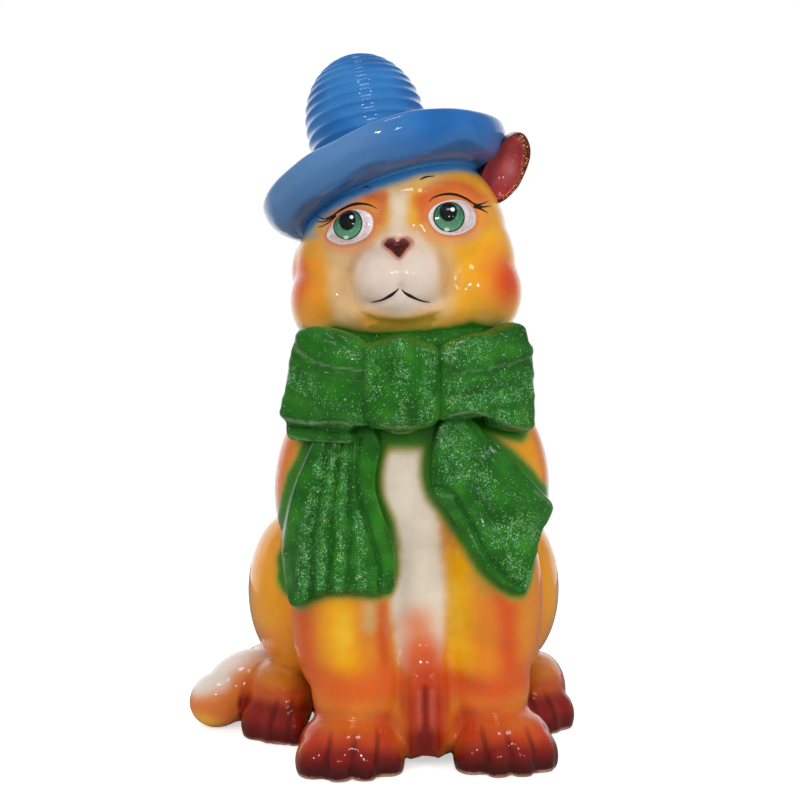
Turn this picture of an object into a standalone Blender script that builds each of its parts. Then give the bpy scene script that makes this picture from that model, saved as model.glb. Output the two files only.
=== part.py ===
# Sitting cat figurine: a hollow casting with a ribbed straw hat and a scarf tied in a bow.
# Blender 4.5. +Z is up, the cat looks along -Y, and its own left is +X.
# The tables are in millimetres, in the figure's own frame, with X = 0 on the line between
# the forelegs. Every node hangs from one empty, which carries the figure to the middle of its base.

import math

import bmesh
import bpy
from mathutils import Euler, Matrix, Vector

MM = 0.001
BASE_SHIFT = Vector((15.4, 3.2, 0.0))

ROOM = "_room"

WALL = 7.0
GAP = 0.3
VOXEL = 2.6
FLOOR_THICKNESS = 9.0
POUR_HOLE_RADIUS = 19.0
POUR_HOLE_CENTRE = Vector((0.0, 30.0, 0.0))
NECK_LEVEL = 232.0

HEAD_CENTRE = Vector((-3.0, -3.0, 262.0))
HEAD_TURN = (-8.0, -4.5, -9.0)

RIM_CENTRE = Vector((-12.9, 12.0, 315.9))
RIM_AXIS = Vector((-0.285, 0.396, 0.873))
RIM_RADIUS = 69.5
BRIM_CREASE_RADIUS = 50.0
BRIM_DEPTH = 19.0
BRIM_HOLE_RADIUS = 24.0
BRIM_THICKNESS = 6.0

CROWN_BASE = Vector((-17.4, 12.5, 315.9))
CROWN_AXIS = Vector((-0.157, 0.423, 0.893))
CROWN_RADIUS = 32.4
CROWN_HEIGHT = 68.6
CROWN_DOME = 40.0
CROWN_SINK = 30.0
CROWN_RINGS = 13
RING_RISE = 0.6

SCARF_THICKNESS = 9.0
SCARF_BALLS = 36
LATHE_STEPS = 36

# A mass is a ball or a box: its centre, its half sizes and its turn about X, Y and Z in degrees.
TORSO = (
    ("ball", (0, -14, 158), (60, 45, 66), (0, 0, 0)),
    ("ball", (0, 10, 88), (61, 52, 88), (0, 0, 0)),
    ("ball", (0, 34, 50), (70, 44, 74), (0, 0, 0)),
    ("ball", (-2, -8, 218), (50, 42, 40), (0, 0, 0)),
    ("ball", (3, -22, 66), (30, 31, 104), (0, 0, 0)),
)
FORELEG_RIGHT = (
    ("ball", (-44, -22, 150), (32, 34, 52), (0, 6, 0)),
    ("ball", (-38, -34, 92), (30, 30, 62), (0, 7, 0)),
    ("ball", (-32, -38, 42), (26, 27, 44), (0, 2, 0)),
    ("ball", (-38, -52, 11), (28, 28, 19), (0, 0, 0)),
)
FORELEG_LEFT = (
    ("ball", (42, -22, 150), (32, 34, 52), (0, -6, 0)),
    ("ball", (40, -34, 92), (29, 30, 62), (0, -5, 0)),
    ("ball", (38, -38, 42), (24, 27, 44), (0, -2, 0)),
    ("ball", (45, -54, 11), (27, 28, 19), (0, 0, 0)),
)
HAUNCH_RIGHT = (("ball", (-60, 22, 78), (30, 46, 47), (0, 0, 0)),)
HAUNCH_LEFT = (("ball", (59, 22, 78), (29, 46, 47), (0, 0, 0)),)
HIND_PAW_RIGHT = (("ball", (-73, 16, 16), (20, 30, 22), (0, 0, 0)),)
HIND_PAW_LEFT = (("ball", (74, 16, 16), (19, 30, 22), (0, 0, 0)),)
TAIL = (
    ("ball", (-56, 58, 23), (26, 20, 22), (0, 0, 0)),
    ("ball", (-74, 46, 20), (26, 22, 22), (0, -6, 25)),
    ("ball", (-92, 32, 17), (25, 18, 18), (0, -10, 30)),
    ("ball", (-108, 22, 13), (17, 14, 14), (0, -8, 20)),
)
TOES_RIGHT = ((-59, -63), (-46, -69), (-32, -69), (-19, -63))
TOES_LEFT = ((26, -65), (39, -71), (52, -71), (64, -65))
TOE_SIZE = (8.5, 14, 13)
TOE_LEVEL = 6.0
HIND_TOES_RIGHT = ((-84, -2), (-75, -6), (-65, -3))
HIND_TOES_LEFT = ((65, -3), (76, -6), (85, -2))

# The head's masses are in the head's own turned frame, about HEAD_CENTRE.
HEAD = (
    ("ball", (0, 1, 16), (53, 53, 54), (0, 0, 0)),
    ("ball", (-1, 2, 1), (61, 46, 38), (0, 0, 0)),
    ("ball", (-36, -8, -14), (27, 36, 28), (0, 0, 0)),
    ("ball", (36, -8, -14), (27, 36, 28), (0, 0, 0)),
    ("ball", (0, -16, -22), (46, 42, 22), (0, 0, 0)),
    ("ball", (0, -40, -6), (25, 27, 24), (0, 0, 0)),
    ("ball", (-25, -31, 24), (15, 17, 12), (0, 0, 0)),
    ("ball", (27, -31, 24), (15, 17, 12), (0, 0, 0)),
    ("ball", (0, -62, 10), (8, 7, 6), (0, 0, 0)),
)
THROAT = ("ball", (-2, -8, 226), (42, 34, 30), (0, 0, 0))

LOOP_RIGHT = (
    ("box", (-42, -60, 210), (15, 10, 20), (0, 0, -16)),
    ("box", (-58, -51, 210), (14, 11, 24), (0, 6, -38)),
)
LOOP_LEFT = (
    ("box", (24, -60, 209), (16, 10, 20), (0, 0, 16)),
    ("box", (47, -51, 207), (14, 11, 25), (0, -4, 38)),
)
KNOT = (("box", (-12, -67, 209), (21, 13, 23), (0, 0, 0)),)
EAR = (("ball", (51, 10, 317), (13, 9, 24), (0, 28, 0)),)
EAR_HOLLOW = (("ball", (52, -1, 319), (10, 8, 20), (0, 28, 0)),)

# Outlines of the scarf's two ends as seen from the front, as X and Z.
SCARF_END_RIGHT = (
    (-49, 186), (-60, 165), (-68, 145), (-72, 122), (-72, 104), (-69, 89),
    (-57, 95), (-36, 99), (-17, 102), (-21, 114), (-27, 135), (-33, 162), (-31, 186),
)
SCARF_END_LEFT = (
    (6, 186), (7, 152), (24, 130), (33, 113), (44, 99), (56, 95),
    (61, 117), (73, 136), (68, 147), (57, 156), (41, 171), (27, 186),
)


def remove_everything():
    for item in list(bpy.data.objects):
        bpy.data.objects.remove(item, do_unlink=True)


def material(name, colour, roughness):
    paint = bpy.data.materials.new(name)
    paint.use_nodes = True
    shader = paint.node_tree.nodes["Principled BSDF"]
    shader.inputs["Base Color"].default_value = (*colour, 1.0)
    shader.inputs["Roughness"].default_value = roughness
    shader.inputs["Metallic"].default_value = 0.0
    return paint


def turned(degrees):
    return Euler([math.radians(angle) for angle in degrees]).to_matrix().to_4x4()


def along(axis, at):
    """The frame whose +Z runs along an axis from a point."""
    turn = Vector((0, 0, 1)).rotation_difference(axis)
    return Matrix.Translation(at * MM) @ turn.to_matrix().to_4x4()


def object_from(bm, name):
    mesh = bpy.data.meshes.new(name)
    bm.to_mesh(mesh)
    bm.free()
    made = bpy.data.objects.new(name, mesh)
    bpy.context.scene.collection.objects.link(made)
    return made


def apply_modifiers(piece):
    graph = bpy.context.evaluated_depsgraph_get()
    mesh = bpy.data.meshes.new_from_object(piece.evaluated_get(graph))
    before = piece.data
    piece.modifiers.clear()
    piece.data = mesh
    bpy.data.meshes.remove(before)


def add_mass(bm, mass, frame, less=0.0):
    kind, centre, half, turn = mass
    size = [(length - less) * MM for length in half]
    place = frame @ Matrix.Translation(Vector(centre) * MM) @ turned(turn) @ Matrix.Diagonal((*size, 1.0))
    if kind == "ball":
        bmesh.ops.create_icosphere(bm, subdivisions=4, radius=1.0, matrix=place)
        return
    made = bmesh.ops.create_cube(bm, size=2.0, matrix=place)
    edges = list({edge for vertex in made["verts"] for edge in vertex.link_edges})
    bmesh.ops.bevel(bm, geom=edges, offset=0.7 * min(size), segments=3, profile=0.5, affect="EDGES")


def sculpt(name, masses, triangles, frame=Matrix(), less=0.0, smoothing=6):
    """Masses pressed into one lump of clay, smoothed, and kept to a number of triangles."""
    bm = bmesh.new()
    for mass in masses:
        add_mass(bm, mass, frame, less)
    lump = object_from(bm, name)
    remesh = lump.modifiers.new("Lump", "REMESH")
    remesh.mode = "VOXEL"
    remesh.voxel_size = VOXEL * MM
    smooth = lump.modifiers.new("Smooth", "SMOOTH")
    smooth.factor = 0.5
    smooth.iterations = smoothing
    apply_modifiers(lump)
    lump.data.calc_loop_triangles()
    thin = lump.modifiers.new("Thin", "DECIMATE")
    thin.ratio = min(1.0, triangles / len(lump.data.loop_triangles))
    apply_modifiers(lump)
    return lump


def boolean(piece, other, operation):
    cutter = piece.modifiers.new(operation.title(), "BOOLEAN")
    cutter.operation = operation
    cutter.object = other
    apply_modifiers(piece)


def duplicate(piece, name):
    copy = piece.copy()
    copy.name = name
    copy.data = piece.data.copy()
    bpy.context.scene.collection.objects.link(copy)
    return copy


def keep_room(piece):
    """Keeps a copy of the whole piece whose skin stands off it by GAP, for its neighbours to be cut by."""
    room = duplicate(piece, piece.name + ROOM)
    bm = bmesh.new()
    bm.from_mesh(room.data)
    bm.normal_update()
    for vertex in bm.verts:
        vertex.co += vertex.normal * GAP * MM
    bm.to_mesh(room.data)
    bm.free()


def discard(*pieces):
    for piece in pieces:
        bpy.data.objects.remove(piece, do_unlink=True)


def keep_largest(piece):
    """Drops the crumbs that a cut can leave beside the piece."""
    bm = bmesh.new()
    bm.from_mesh(piece.data)
    islands = []
    unseen = set(bm.verts)
    while unseen:
        island = {unseen.pop()}
        front = list(island)
        while front:
            vertex = front.pop()
            for edge in vertex.link_edges:
                other = edge.other_vert(vertex)
                if other in unseen:
                    unseen.remove(other)
                    island.add(other)
                    front.append(other)
        islands.append(island)
    islands.sort(key=len)
    for island in islands[:-1]:
        bmesh.ops.delete(bm, geom=list(island), context="VERTS")
    bm.to_mesh(piece.data)
    bm.free()


def cut_clear(piece, *neighbours):
    """Cuts a piece back so that it stands GAP off each neighbour."""
    keep_room(piece)
    for neighbour in neighbours:
        boolean(piece, bpy.data.objects[neighbour + ROOM], "DIFFERENCE")
    keep_largest(piece)


def slab(low, high):
    """A block between two corners, in millimetres."""
    bm = bmesh.new()
    low = Vector(low) * MM
    high = Vector(high) * MM
    place = Matrix.Translation((low + high) / 2) @ Matrix.Diagonal((*(high - low), 1.0))
    bmesh.ops.create_cube(bm, size=1.0, matrix=place)
    return object_from(bm, "Slab")


def cut_below(piece, level):
    block = slab((-300, -300, -200), (300, 300, level))
    boolean(piece, block, "DIFFERENCE")
    discard(block)


def cut_above(piece, level):
    block = slab((-300, -300, level), (300, 300, 600))
    boolean(piece, block, "DIFFERENCE")
    discard(block)


def lathe(name, profile, frame):
    """A closed turned ring or cap. The profile runs as radius and height, in millimetres."""
    bm = bmesh.new()
    rows = []
    for radius, height in profile:
        if radius == 0:
            rows.append([bm.verts.new((0, 0, height * MM))])
            continue
        ring = []
        for step in range(LATHE_STEPS):
            angle = 2 * math.pi * step / LATHE_STEPS
            corner = Vector((radius * math.cos(angle), radius * math.sin(angle), height))
            ring.append(bm.verts.new(corner * MM))
        rows.append(ring)
    for low, high in zip(rows, rows[1:] + rows[:1]):
        if len(low) == len(high) == 1:
            continue
        for step in range(LATHE_STEPS):
            after = (step + 1) % LATHE_STEPS
            under = [low[step % len(low)], low[after % len(low)]]
            over = [high[after % len(high)], high[step % len(high)]]
            bm.faces.new(list(dict.fromkeys(under + over)))
    bmesh.ops.recalc_face_normals(bm, faces=bm.faces)
    bmesh.ops.triangulate(bm, faces=bm.faces)
    bm.transform(frame)
    return object_from(bm, name)


def toes(places):
    return tuple(("ball", (x, y, TOE_LEVEL), TOE_SIZE, (0, 0, 0)) for x, y in places)


def make_torso():
    torso = sculpt("torso_shell", TORSO, 1500)
    cut_below(torso, 0.0)
    cut_above(torso, NECK_LEVEL - GAP / 2)
    hollow = sculpt("Hollow", TORSO[:4] + (THROAT,), 700, less=WALL)
    cut_below(hollow, FLOOR_THICKNESS)
    bm = bmesh.new()
    bmesh.ops.create_cone(
        bm,
        cap_ends=True,
        segments=LATHE_STEPS,
        radius1=POUR_HOLE_RADIUS * MM,
        radius2=POUR_HOLE_RADIUS * MM,
        depth=4 * FLOOR_THICKNESS * MM,
        matrix=Matrix.Translation(POUR_HOLE_CENTRE * MM),
    )
    hole = object_from(bm, "Hole")
    boolean(hollow, hole, "UNION")
    keep_room(torso)
    boolean(torso, hollow, "DIFFERENCE")
    discard(hollow, hole)
    return torso


def make_limb(name, masses, triangles, *neighbours):
    limb = sculpt(name, masses, triangles)
    cut_below(limb, 0.0)
    cut_clear(limb, *neighbours)
    return limb


def make_head():
    frame = Matrix.Translation(HEAD_CENTRE * MM) @ turned(HEAD_TURN)
    head = sculpt("head_shell", HEAD, 1800, frame, smoothing=4)
    cut_below(head, NECK_LEVEL + GAP / 2)
    lid = slab((-150, -150, -BRIM_DEPTH - GAP), (150, 150, 150))
    lid.matrix_world = along(RIM_AXIS, RIM_CENTRE)
    boolean(head, lid, "DIFFERENCE")
    keep_room(head)
    hollow = sculpt("Hollow", HEAD[:6], 900, frame, less=WALL)
    cut_below(hollow, NECK_LEVEL + 4)
    throat = sculpt("Throat", (THROAT,), 300, less=WALL)
    boolean(hollow, throat, "UNION")
    boolean(head, hollow, "DIFFERENCE")
    discard(hollow, throat, lid)
    return head


def make_scarf_band(*neighbours):
    centre = Vector((-2, -8, 222))
    masses = []
    for step in range(SCARF_BALLS):
        angle = 2 * math.pi * step / SCARF_BALLS
        at = centre + Vector((48 * math.cos(angle), 40 * math.sin(angle), 0))
        masses.append(("ball", tuple(at), (13, 13, 18), (0, 0, 0)))
    band = sculpt("neck_scarf", masses, 560, smoothing=12)
    cut_clear(band, *neighbours)
    return band


def make_scarf_end(side, outline, skin):
    """A slab lying on the body inside an outline, as thick as the skin stands off the body."""
    bm = bmesh.new()
    corners = [bm.verts.new((x * MM, -130 * MM, z * MM)) for x, z in outline]
    face = bm.faces.new(corners)
    made = bmesh.ops.extrude_face_region(bm, geom=[face])
    moved = [item for item in made["geom"] if isinstance(item, bmesh.types.BMVert)]
    bmesh.ops.translate(bm, vec=(0, 120 * MM, 0), verts=moved)
    bmesh.ops.recalc_face_normals(bm, faces=bm.faces)
    end = object_from(bm, "scarf_end_" + side)
    boolean(end, skin, "INTERSECT")
    own_side = [name + side for name in ("foreleg_", "haunch_", "bow_loop_")]
    cut_clear(end, "torso_shell", "neck_scarf", "bow_knot", *own_side)
    return end


def brim_profile():
    """The dish: its flat underside, up its outer side to the rim, and back down its inner side."""
    outer = []
    inner = []
    for step in range(7):
        angle = math.radians(90 * step / 6)
        radius = BRIM_CREASE_RADIUS + (RIM_RADIUS - BRIM_CREASE_RADIUS) * math.sin(angle)
        height = -BRIM_DEPTH * math.cos(angle)
        outer.append((radius, height))
        radius -= BRIM_THICKNESS * math.sin(angle)
        height += BRIM_THICKNESS * math.cos(angle)
        inner.append((radius, height))
    floor = -BRIM_DEPTH + BRIM_THICKNESS
    return [(BRIM_HOLE_RADIUS, -BRIM_DEPTH)] + outer + inner[::-1] + [(BRIM_HOLE_RADIUS, floor)]


def thimble(height, radius, top, dome):
    """The radius at a height of a straight-sided thimble with a round top."""
    part = max(0.0, (height - top + dome) / dome)
    return radius * math.sqrt(max(0.0, 1 - part * part))


def crown_profile():
    outer = [(CROWN_RADIUS, -CROWN_SINK)]
    rows = 2 * CROWN_RINGS
    for row in range(rows):
        height = CROWN_HEIGHT * math.sin(0.5 * math.pi * row / rows)
        ripple = RING_RISE if row % 2 else -RING_RISE
        outer.append((thimble(height, CROWN_RADIUS, CROWN_HEIGHT, CROWN_DOME) + ripple, height))
    outer.append((0, CROWN_HEIGHT))
    top = CROWN_HEIGHT - WALL
    inner = [(0, top)]
    for row in range(6, -1, -1):
        height = top * math.sin(0.5 * math.pi * row / 7)
        inner.append((thimble(height, CROWN_RADIUS - WALL, top, CROWN_DOME - WALL), height))
    inner.append((CROWN_RADIUS - WALL, -CROWN_SINK))
    return outer + inner


def make_crown():
    crown = lathe("hat_crown", crown_profile(), along(CROWN_AXIS, CROWN_BASE))
    seat = slab((-150, -150, -150), (150, 150, -BRIM_DEPTH + BRIM_THICKNESS + GAP))
    seat.matrix_world = along(RIM_AXIS, RIM_CENTRE)
    boolean(crown, seat, "DIFFERENCE")
    discard(seat)
    return crown


def make_ear():
    ear = sculpt("ear_left", EAR, 420, smoothing=2)
    hollow = sculpt("Hollow", EAR_HOLLOW, 300, smoothing=2)
    boolean(ear, hollow, "DIFFERENCE")
    discard(hollow)
    cut_clear(ear, "head_shell", "hat_brim")
    return ear


def finish(piece, paint, origin, root):
    """Gives a node its paint, its origin and smooth shading, and hangs it from the figure's empty."""
    at = Vector(origin) * MM
    piece.data.transform(Matrix.Translation(-at))
    piece.location = at
    piece.parent = root
    piece.data.materials.clear()
    piece.data.materials.append(paint)
    piece.data.shade_smooth()
    piece.data.set_sharp_from_angle(angle=math.radians(40))


def main():
    remove_everything()
    root = bpy.data.objects.new("Figure", None)
    bpy.context.scene.collection.objects.link(root)

    torso = make_torso()
    head = make_head()
    right_paw = FORELEG_RIGHT + toes(TOES_RIGHT)
    left_paw = FORELEG_LEFT + toes(TOES_LEFT)
    foreleg_right = make_limb("foreleg_right", right_paw, 900, "torso_shell")
    foreleg_left = make_limb("foreleg_left", left_paw, 900, "torso_shell", "foreleg_right")
    beside_right = ("torso_shell", "foreleg_right")
    beside_left = ("torso_shell", "foreleg_left")
    haunch_right = make_limb("haunch_right", HAUNCH_RIGHT, 360, *beside_right)
    haunch_left = make_limb("haunch_left", HAUNCH_LEFT, 360, *beside_left)
    right_paw = HIND_PAW_RIGHT + toes(HIND_TOES_RIGHT)
    left_paw = HIND_PAW_LEFT + toes(HIND_TOES_LEFT)
    hind_right = make_limb("hind_paw_right", right_paw, 360, *beside_right, "haunch_right")
    hind_left = make_limb("hind_paw_left", left_paw, 360, *beside_left, "haunch_left")
    tail = make_limb("tail", TAIL, 500, "torso_shell", "haunch_right", "hind_paw_right")

    brim = lathe("hat_brim", brim_profile(), along(RIM_AXIS, RIM_CENTRE))
    keep_room(brim)
    crown = make_crown()
    ear = make_ear()

    around_neck = ("torso_shell", "head_shell")
    scarf = make_scarf_band(*around_neck)
    knot = make_limb("bow_knot", KNOT, 360, *around_neck, "neck_scarf")
    loop_right = make_limb(
        "bow_loop_right", LOOP_RIGHT, 400, *around_neck, "foreleg_right", "neck_scarf", "bow_knot")
    loop_left = make_limb(
        "bow_loop_left", LOOP_LEFT, 400, *around_neck, "foreleg_left", "neck_scarf", "bow_knot")
    skin = sculpt("Skin", TORSO + FORELEG_RIGHT + FORELEG_LEFT, 1500, less=-SCARF_THICKNESS)
    end_right = make_scarf_end("right", SCARF_END_RIGHT, skin)
    end_left = make_scarf_end("left", SCARF_END_LEFT, skin)
    discard(skin, *(item for item in bpy.data.objects if item.name.endswith(ROOM)))

    fur = material("orange_glaze", (0.86, 0.36, 0.03), 0.12)
    paw = material("maroon_glaze", (0.28, 0.03, 0.015), 0.12)
    blue = material("blue_glaze", (0.03, 0.16, 0.5), 0.14)
    green = material("green_glitter", (0.02, 0.2, 0.02), 0.3)
    cream = material("cream_glaze", (0.9, 0.78, 0.55), 0.12)
    finish(torso, cream, (0, 0, 0), root)
    finish(foreleg_right, fur, (-38, -52, 0), root)
    finish(foreleg_left, fur, (45, -54, 0), root)
    finish(haunch_right, fur, (-60, 22, 78), root)
    finish(haunch_left, fur, (59, 22, 78), root)
    finish(hind_right, paw, (-73, 16, 0), root)
    finish(hind_left, paw, (74, 16, 0), root)
    finish(tail, fur, (-56, 58, 0), root)
    finish(head, fur, HEAD_CENTRE, root)
    finish(ear, paw, (50, 8, 300), root)
    finish(brim, blue, RIM_CENTRE, root)
    finish(crown, blue, CROWN_BASE, root)
    finish(scarf, green, (-2, -8, 222), root)
    finish(knot, green, (-12, -67, 209), root)
    finish(loop_right, green, (-42, -60, 209), root)
    finish(loop_left, green, (23, -60, 209), root)
    finish(end_right, green, (-40, -60, 186), root)
    finish(end_left, green, (17, -60, 186), root)
    root.location = BASE_SHIFT * MM


main()
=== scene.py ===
import math

import bpy
import numpy as np
from mathutils import Euler, Matrix, Vector, noise
from mathutils.bvhtree import BVHTree


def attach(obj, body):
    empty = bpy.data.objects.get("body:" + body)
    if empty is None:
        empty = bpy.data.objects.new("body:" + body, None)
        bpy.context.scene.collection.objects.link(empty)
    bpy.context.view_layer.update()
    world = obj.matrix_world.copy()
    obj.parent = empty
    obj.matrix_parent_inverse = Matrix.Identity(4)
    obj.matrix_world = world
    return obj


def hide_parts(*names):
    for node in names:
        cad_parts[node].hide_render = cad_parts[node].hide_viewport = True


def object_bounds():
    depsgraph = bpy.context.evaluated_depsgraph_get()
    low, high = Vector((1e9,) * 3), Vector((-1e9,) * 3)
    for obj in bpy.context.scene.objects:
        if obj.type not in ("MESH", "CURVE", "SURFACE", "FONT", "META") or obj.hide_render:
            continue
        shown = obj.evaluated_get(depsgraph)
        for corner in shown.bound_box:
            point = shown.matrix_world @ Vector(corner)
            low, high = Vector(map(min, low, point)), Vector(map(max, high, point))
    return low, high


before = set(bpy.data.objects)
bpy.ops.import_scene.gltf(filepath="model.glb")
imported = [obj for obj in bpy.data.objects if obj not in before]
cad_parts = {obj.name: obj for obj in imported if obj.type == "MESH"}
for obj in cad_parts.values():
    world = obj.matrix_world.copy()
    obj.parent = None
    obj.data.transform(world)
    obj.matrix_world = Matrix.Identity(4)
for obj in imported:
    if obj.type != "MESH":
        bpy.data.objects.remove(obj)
cadBox = [list(corner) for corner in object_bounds()]
boxLow = Vector(cadBox[0])
boxHigh = Vector(cadBox[1])
mm = 0.001

# The figure's own zero lies between the forelegs, a little off the middle of the base.
zeroOffset = (0.01539, 0.003335)
figureOrigin = Vector((
    (boxLow.x + boxHigh.x) / 2 + zeroOffset[0],
    (boxLow.y + boxHigh.y) / 2 + zeroOffset[1],
    boxLow.z,
))
figureFrame = Matrix.Translation(figureOrigin) @ Matrix.Scale(mm, 4)


def turned(degrees):
    return Euler([math.radians(angle) for angle in degrees]).to_matrix().to_4x4()


def spot(at):
    return Matrix.Translation(Vector(at))


def along(axis, at):
    turn = Vector((0, 0, 1)).rotation_difference(Vector(axis))
    return spot(at) @ turn.to_matrix().to_4x4()


# How the head, the rim of the hat and its crown sit and lean.
headFrame = spot((-3, -3, 262)) @ turned((-8, -4.5, -9))
rimFrame = along((-0.285, 0.396, 0.873), (-12.9, 12.0, 315.9))
crownFrame = along((-0.157, 0.423, 0.893), (-17.4, 12.5, 315.9))


def alone(piece):
    bpy.ops.object.select_all(action="DESELECT")
    piece.select_set(True)
    bpy.context.view_layer.objects.active = piece


def applied(piece, kind, **settings):
    alone(piece)
    modifier = piece.modifiers.new(kind.title(), kind)
    for key, value in settings.items():
        setattr(modifier, key, value)
    bpy.ops.object.modifier_apply(modifier=modifier.name)


def discard(piece):
    bpy.data.objects.remove(piece, do_unlink=True)


# A mass is "ball" or "box", its centre, its half sizes and, where it leans, its turn.
def addMass(mass, place, grow):
    kind, centre, half, *turn = mass
    bpy.ops.object.select_all(action="DESELECT")
    if kind == "ball":
        bpy.ops.mesh.primitive_ico_sphere_add(subdivisions=5, radius=1)
    else:
        bpy.ops.mesh.primitive_cube_add(size=2)
    piece = bpy.context.object
    size = Matrix.Diagonal((*[length + grow for length in half], 1))
    lean = turned(turn[0] if turn else (0, 0, 0))
    piece.matrix_world = figureFrame @ place @ spot(centre) @ lean @ size
    bpy.ops.object.transform_apply(location=True, rotation=True, scale=True)
    if kind == "box":
        width = 0.7 * (min(half) + grow) * mm
        applied(piece, "BEVEL", width=width, segments=4, limit_method="NONE")
    return piece


def evened(piece, voxel, smooth):
    applied(piece, "REMESH", mode="VOXEL", voxel_size=voxel * mm)
    applied(piece, "SMOOTH", factor=0.5, iterations=smooth)


# masses pressed together into one smooth lump
def clay(name, masses, place=Matrix(), grow=0.0, voxel=1.6, smooth=14):
    lumps = [addMass(mass, place, grow) for mass in masses]
    bpy.ops.object.select_all(action="DESELECT")
    for lump in lumps:
        lump.select_set(True)
    bpy.context.view_layer.objects.active = lumps[0]
    if len(lumps) > 1:
        bpy.ops.object.join()
    piece = bpy.context.view_layer.objects.active
    piece.name = name
    piece.data.name = name
    evened(piece, voxel, smooth)
    return piece


def block(low, high, place=Matrix()):
    bpy.ops.object.select_all(action="DESELECT")
    bpy.ops.mesh.primitive_cube_add(size=1)
    piece = bpy.context.object
    low = Vector(low)
    high = Vector(high)
    size = Matrix.Diagonal((*(high - low), 1))
    piece.matrix_world = figureFrame @ place @ spot((low + high) / 2) @ size
    bpy.ops.object.transform_apply(location=True, rotation=True, scale=True)
    return piece


def cut(piece, other, operation="DIFFERENCE", keep=False):
    applied(piece, "BOOLEAN", operation=operation, object=other, solver="MANIFOLD")
    if not keep:
        discard(other)


def pointsOf(piece, place=Matrix()):
    flat = np.empty(len(piece.data.vertices) * 3, np.float32)
    piece.data.vertices.foreach_get("co", flat)
    back = np.array((figureFrame @ place).inverted())
    return flat.reshape(-1, 3).astype(float) @ back[:3, :3].T + back[:3, 3]


def setPoints(piece, points, place=Matrix()):
    matrix = np.array(figureFrame @ place)
    flat = points @ matrix[:3, :3].T + matrix[:3, 3]
    piece.data.vertices.foreach_set("co", flat.astype(np.float32).ravel())
    piece.data.update()


def normalsOf(piece, place=Matrix()):
    flat = np.empty(len(piece.data.vertices) * 3, np.float32)
    piece.data.vertex_normals.foreach_get("vector", flat)
    turn = np.array(place.to_3x3())
    return flat.reshape(-1, 3).astype(float) @ turn


# a rounded curve through the given points
def smoothed(line, steps, closed=False):
    line = np.array(line, float)
    if closed:
        padded = np.concatenate([line[-1:], line, line[:2]])
    else:
        padded = np.concatenate([2 * line[:1] - line[1:2], line, 2 * line[-1:] - line[-2:-1]])
    found = []
    for i in range(1, len(padded) - 2):
        a, b, c, d = padded[i - 1:i + 3]
        for t in np.linspace(0, 1, steps, endpoint=False):
            found.append(0.5 * (2 * b + (c - a) * t + (2 * a - 5 * b + 4 * c - d) * t * t
                                + (3 * b - a - 3 * c + d) * t ** 3))
    if not closed:
        found.append(line[-1])
    return np.array(found)


def distanceTo(points, line):
    line = np.array(line, float)
    if len(line) == 1:
        return np.linalg.norm(points - line[0], axis=1)
    best = np.full(len(points), 1e9)
    for a, b in zip(line[:-1], line[1:]):
        way = b - a
        t = np.clip(((points - a) @ way) / (way @ way), 0, 1)
        best = np.minimum(best, np.linalg.norm(points - a - t[:, None] * way, axis=1))
    return best


# distance as seen from the front, to a line given as X and Z
def frontDistance(points, line):
    return distanceTo(points[:, [0, 2]], line)


def softStep(value):
    value = np.clip(value, 0, 1)
    return value * value * (3 - 2 * value)


def ripple(points, size, seed=0):
    return np.array([noise.noise(Vector(p) / size + Vector((seed, 2 * seed, 0))) for p in points])


def rounded(line):
    return smoothed(line, 6) if len(line) > 2 else line


# Each stroke is a line in X and Z, its width and its depth. A negative depth raises.
def carve(piece, strokes, place=Matrix()):
    points = pointsOf(piece, place)
    normals = normalsOf(piece, place)
    facing = softStep(-normals[:, 1] * 2.5 + 0.2)
    push = np.zeros(len(points))
    for line, width, depth in strokes:
        away = frontDistance(points, rounded(line))
        push -= depth * np.exp(-(away / width) ** 2) * facing
    setPoints(piece, points + normals * push[:, None], place)


def colour(code):
    channels = [int(code[i:i + 2], 16) / 255 for i in (0, 2, 4)]
    return np.array([c / 12.92 if c <= 0.04045 else ((c + 0.055) / 1.055) ** 2.4 for c in channels])


def tint(code):
    return (*[float(value) for value in colour(code)], 1.0)


# a flat plate cut to an outline in X and Z
def slab(name, outline, front, depth):
    bpy.ops.object.select_all(action="DESELECT")
    bpy.ops.mesh.primitive_circle_add(vertices=len(outline), radius=1, fill_type="NGON")
    piece = bpy.context.object
    piece.name = name
    level = np.full(len(outline), float(front))
    setPoints(piece, np.stack([outline[:, 0], level, outline[:, 1]], axis=1))
    bpy.ops.object.mode_set(mode="EDIT")
    bpy.ops.mesh.select_all(action="SELECT")
    bpy.ops.mesh.extrude_region_move(TRANSFORM_OT_translate={"value": (0, depth * mm, 0)})
    bpy.ops.mesh.select_all(action="SELECT")
    bpy.ops.mesh.normals_make_consistent(inside=False)
    bpy.ops.mesh.quads_convert_to_tris()
    bpy.ops.object.mode_set(mode="OBJECT")
    return piece


def outlineDistance(points, outline):
    ring = smoothed(outline, 4, closed=True)
    return distanceTo(points[:, [0, 2]], np.concatenate([ring, ring[:1]]))


def insideOutline(points, outline):
    ring = smoothed(outline, 4, closed=True)
    inside = np.zeros(len(points), bool)
    for (x0, z0), (x1, z1) in zip(ring, np.roll(ring, -1, axis=0)):
        crosses = (z0 > points[:, 2]) != (z1 > points[:, 2])
        rise = z1 - z0 if abs(z1 - z0) > 1e-9 else 1e-9
        inside ^= crosses & (points[:, 0] < x0 + (points[:, 2] - z0) * (x1 - x0) / rise)
    return inside


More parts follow.
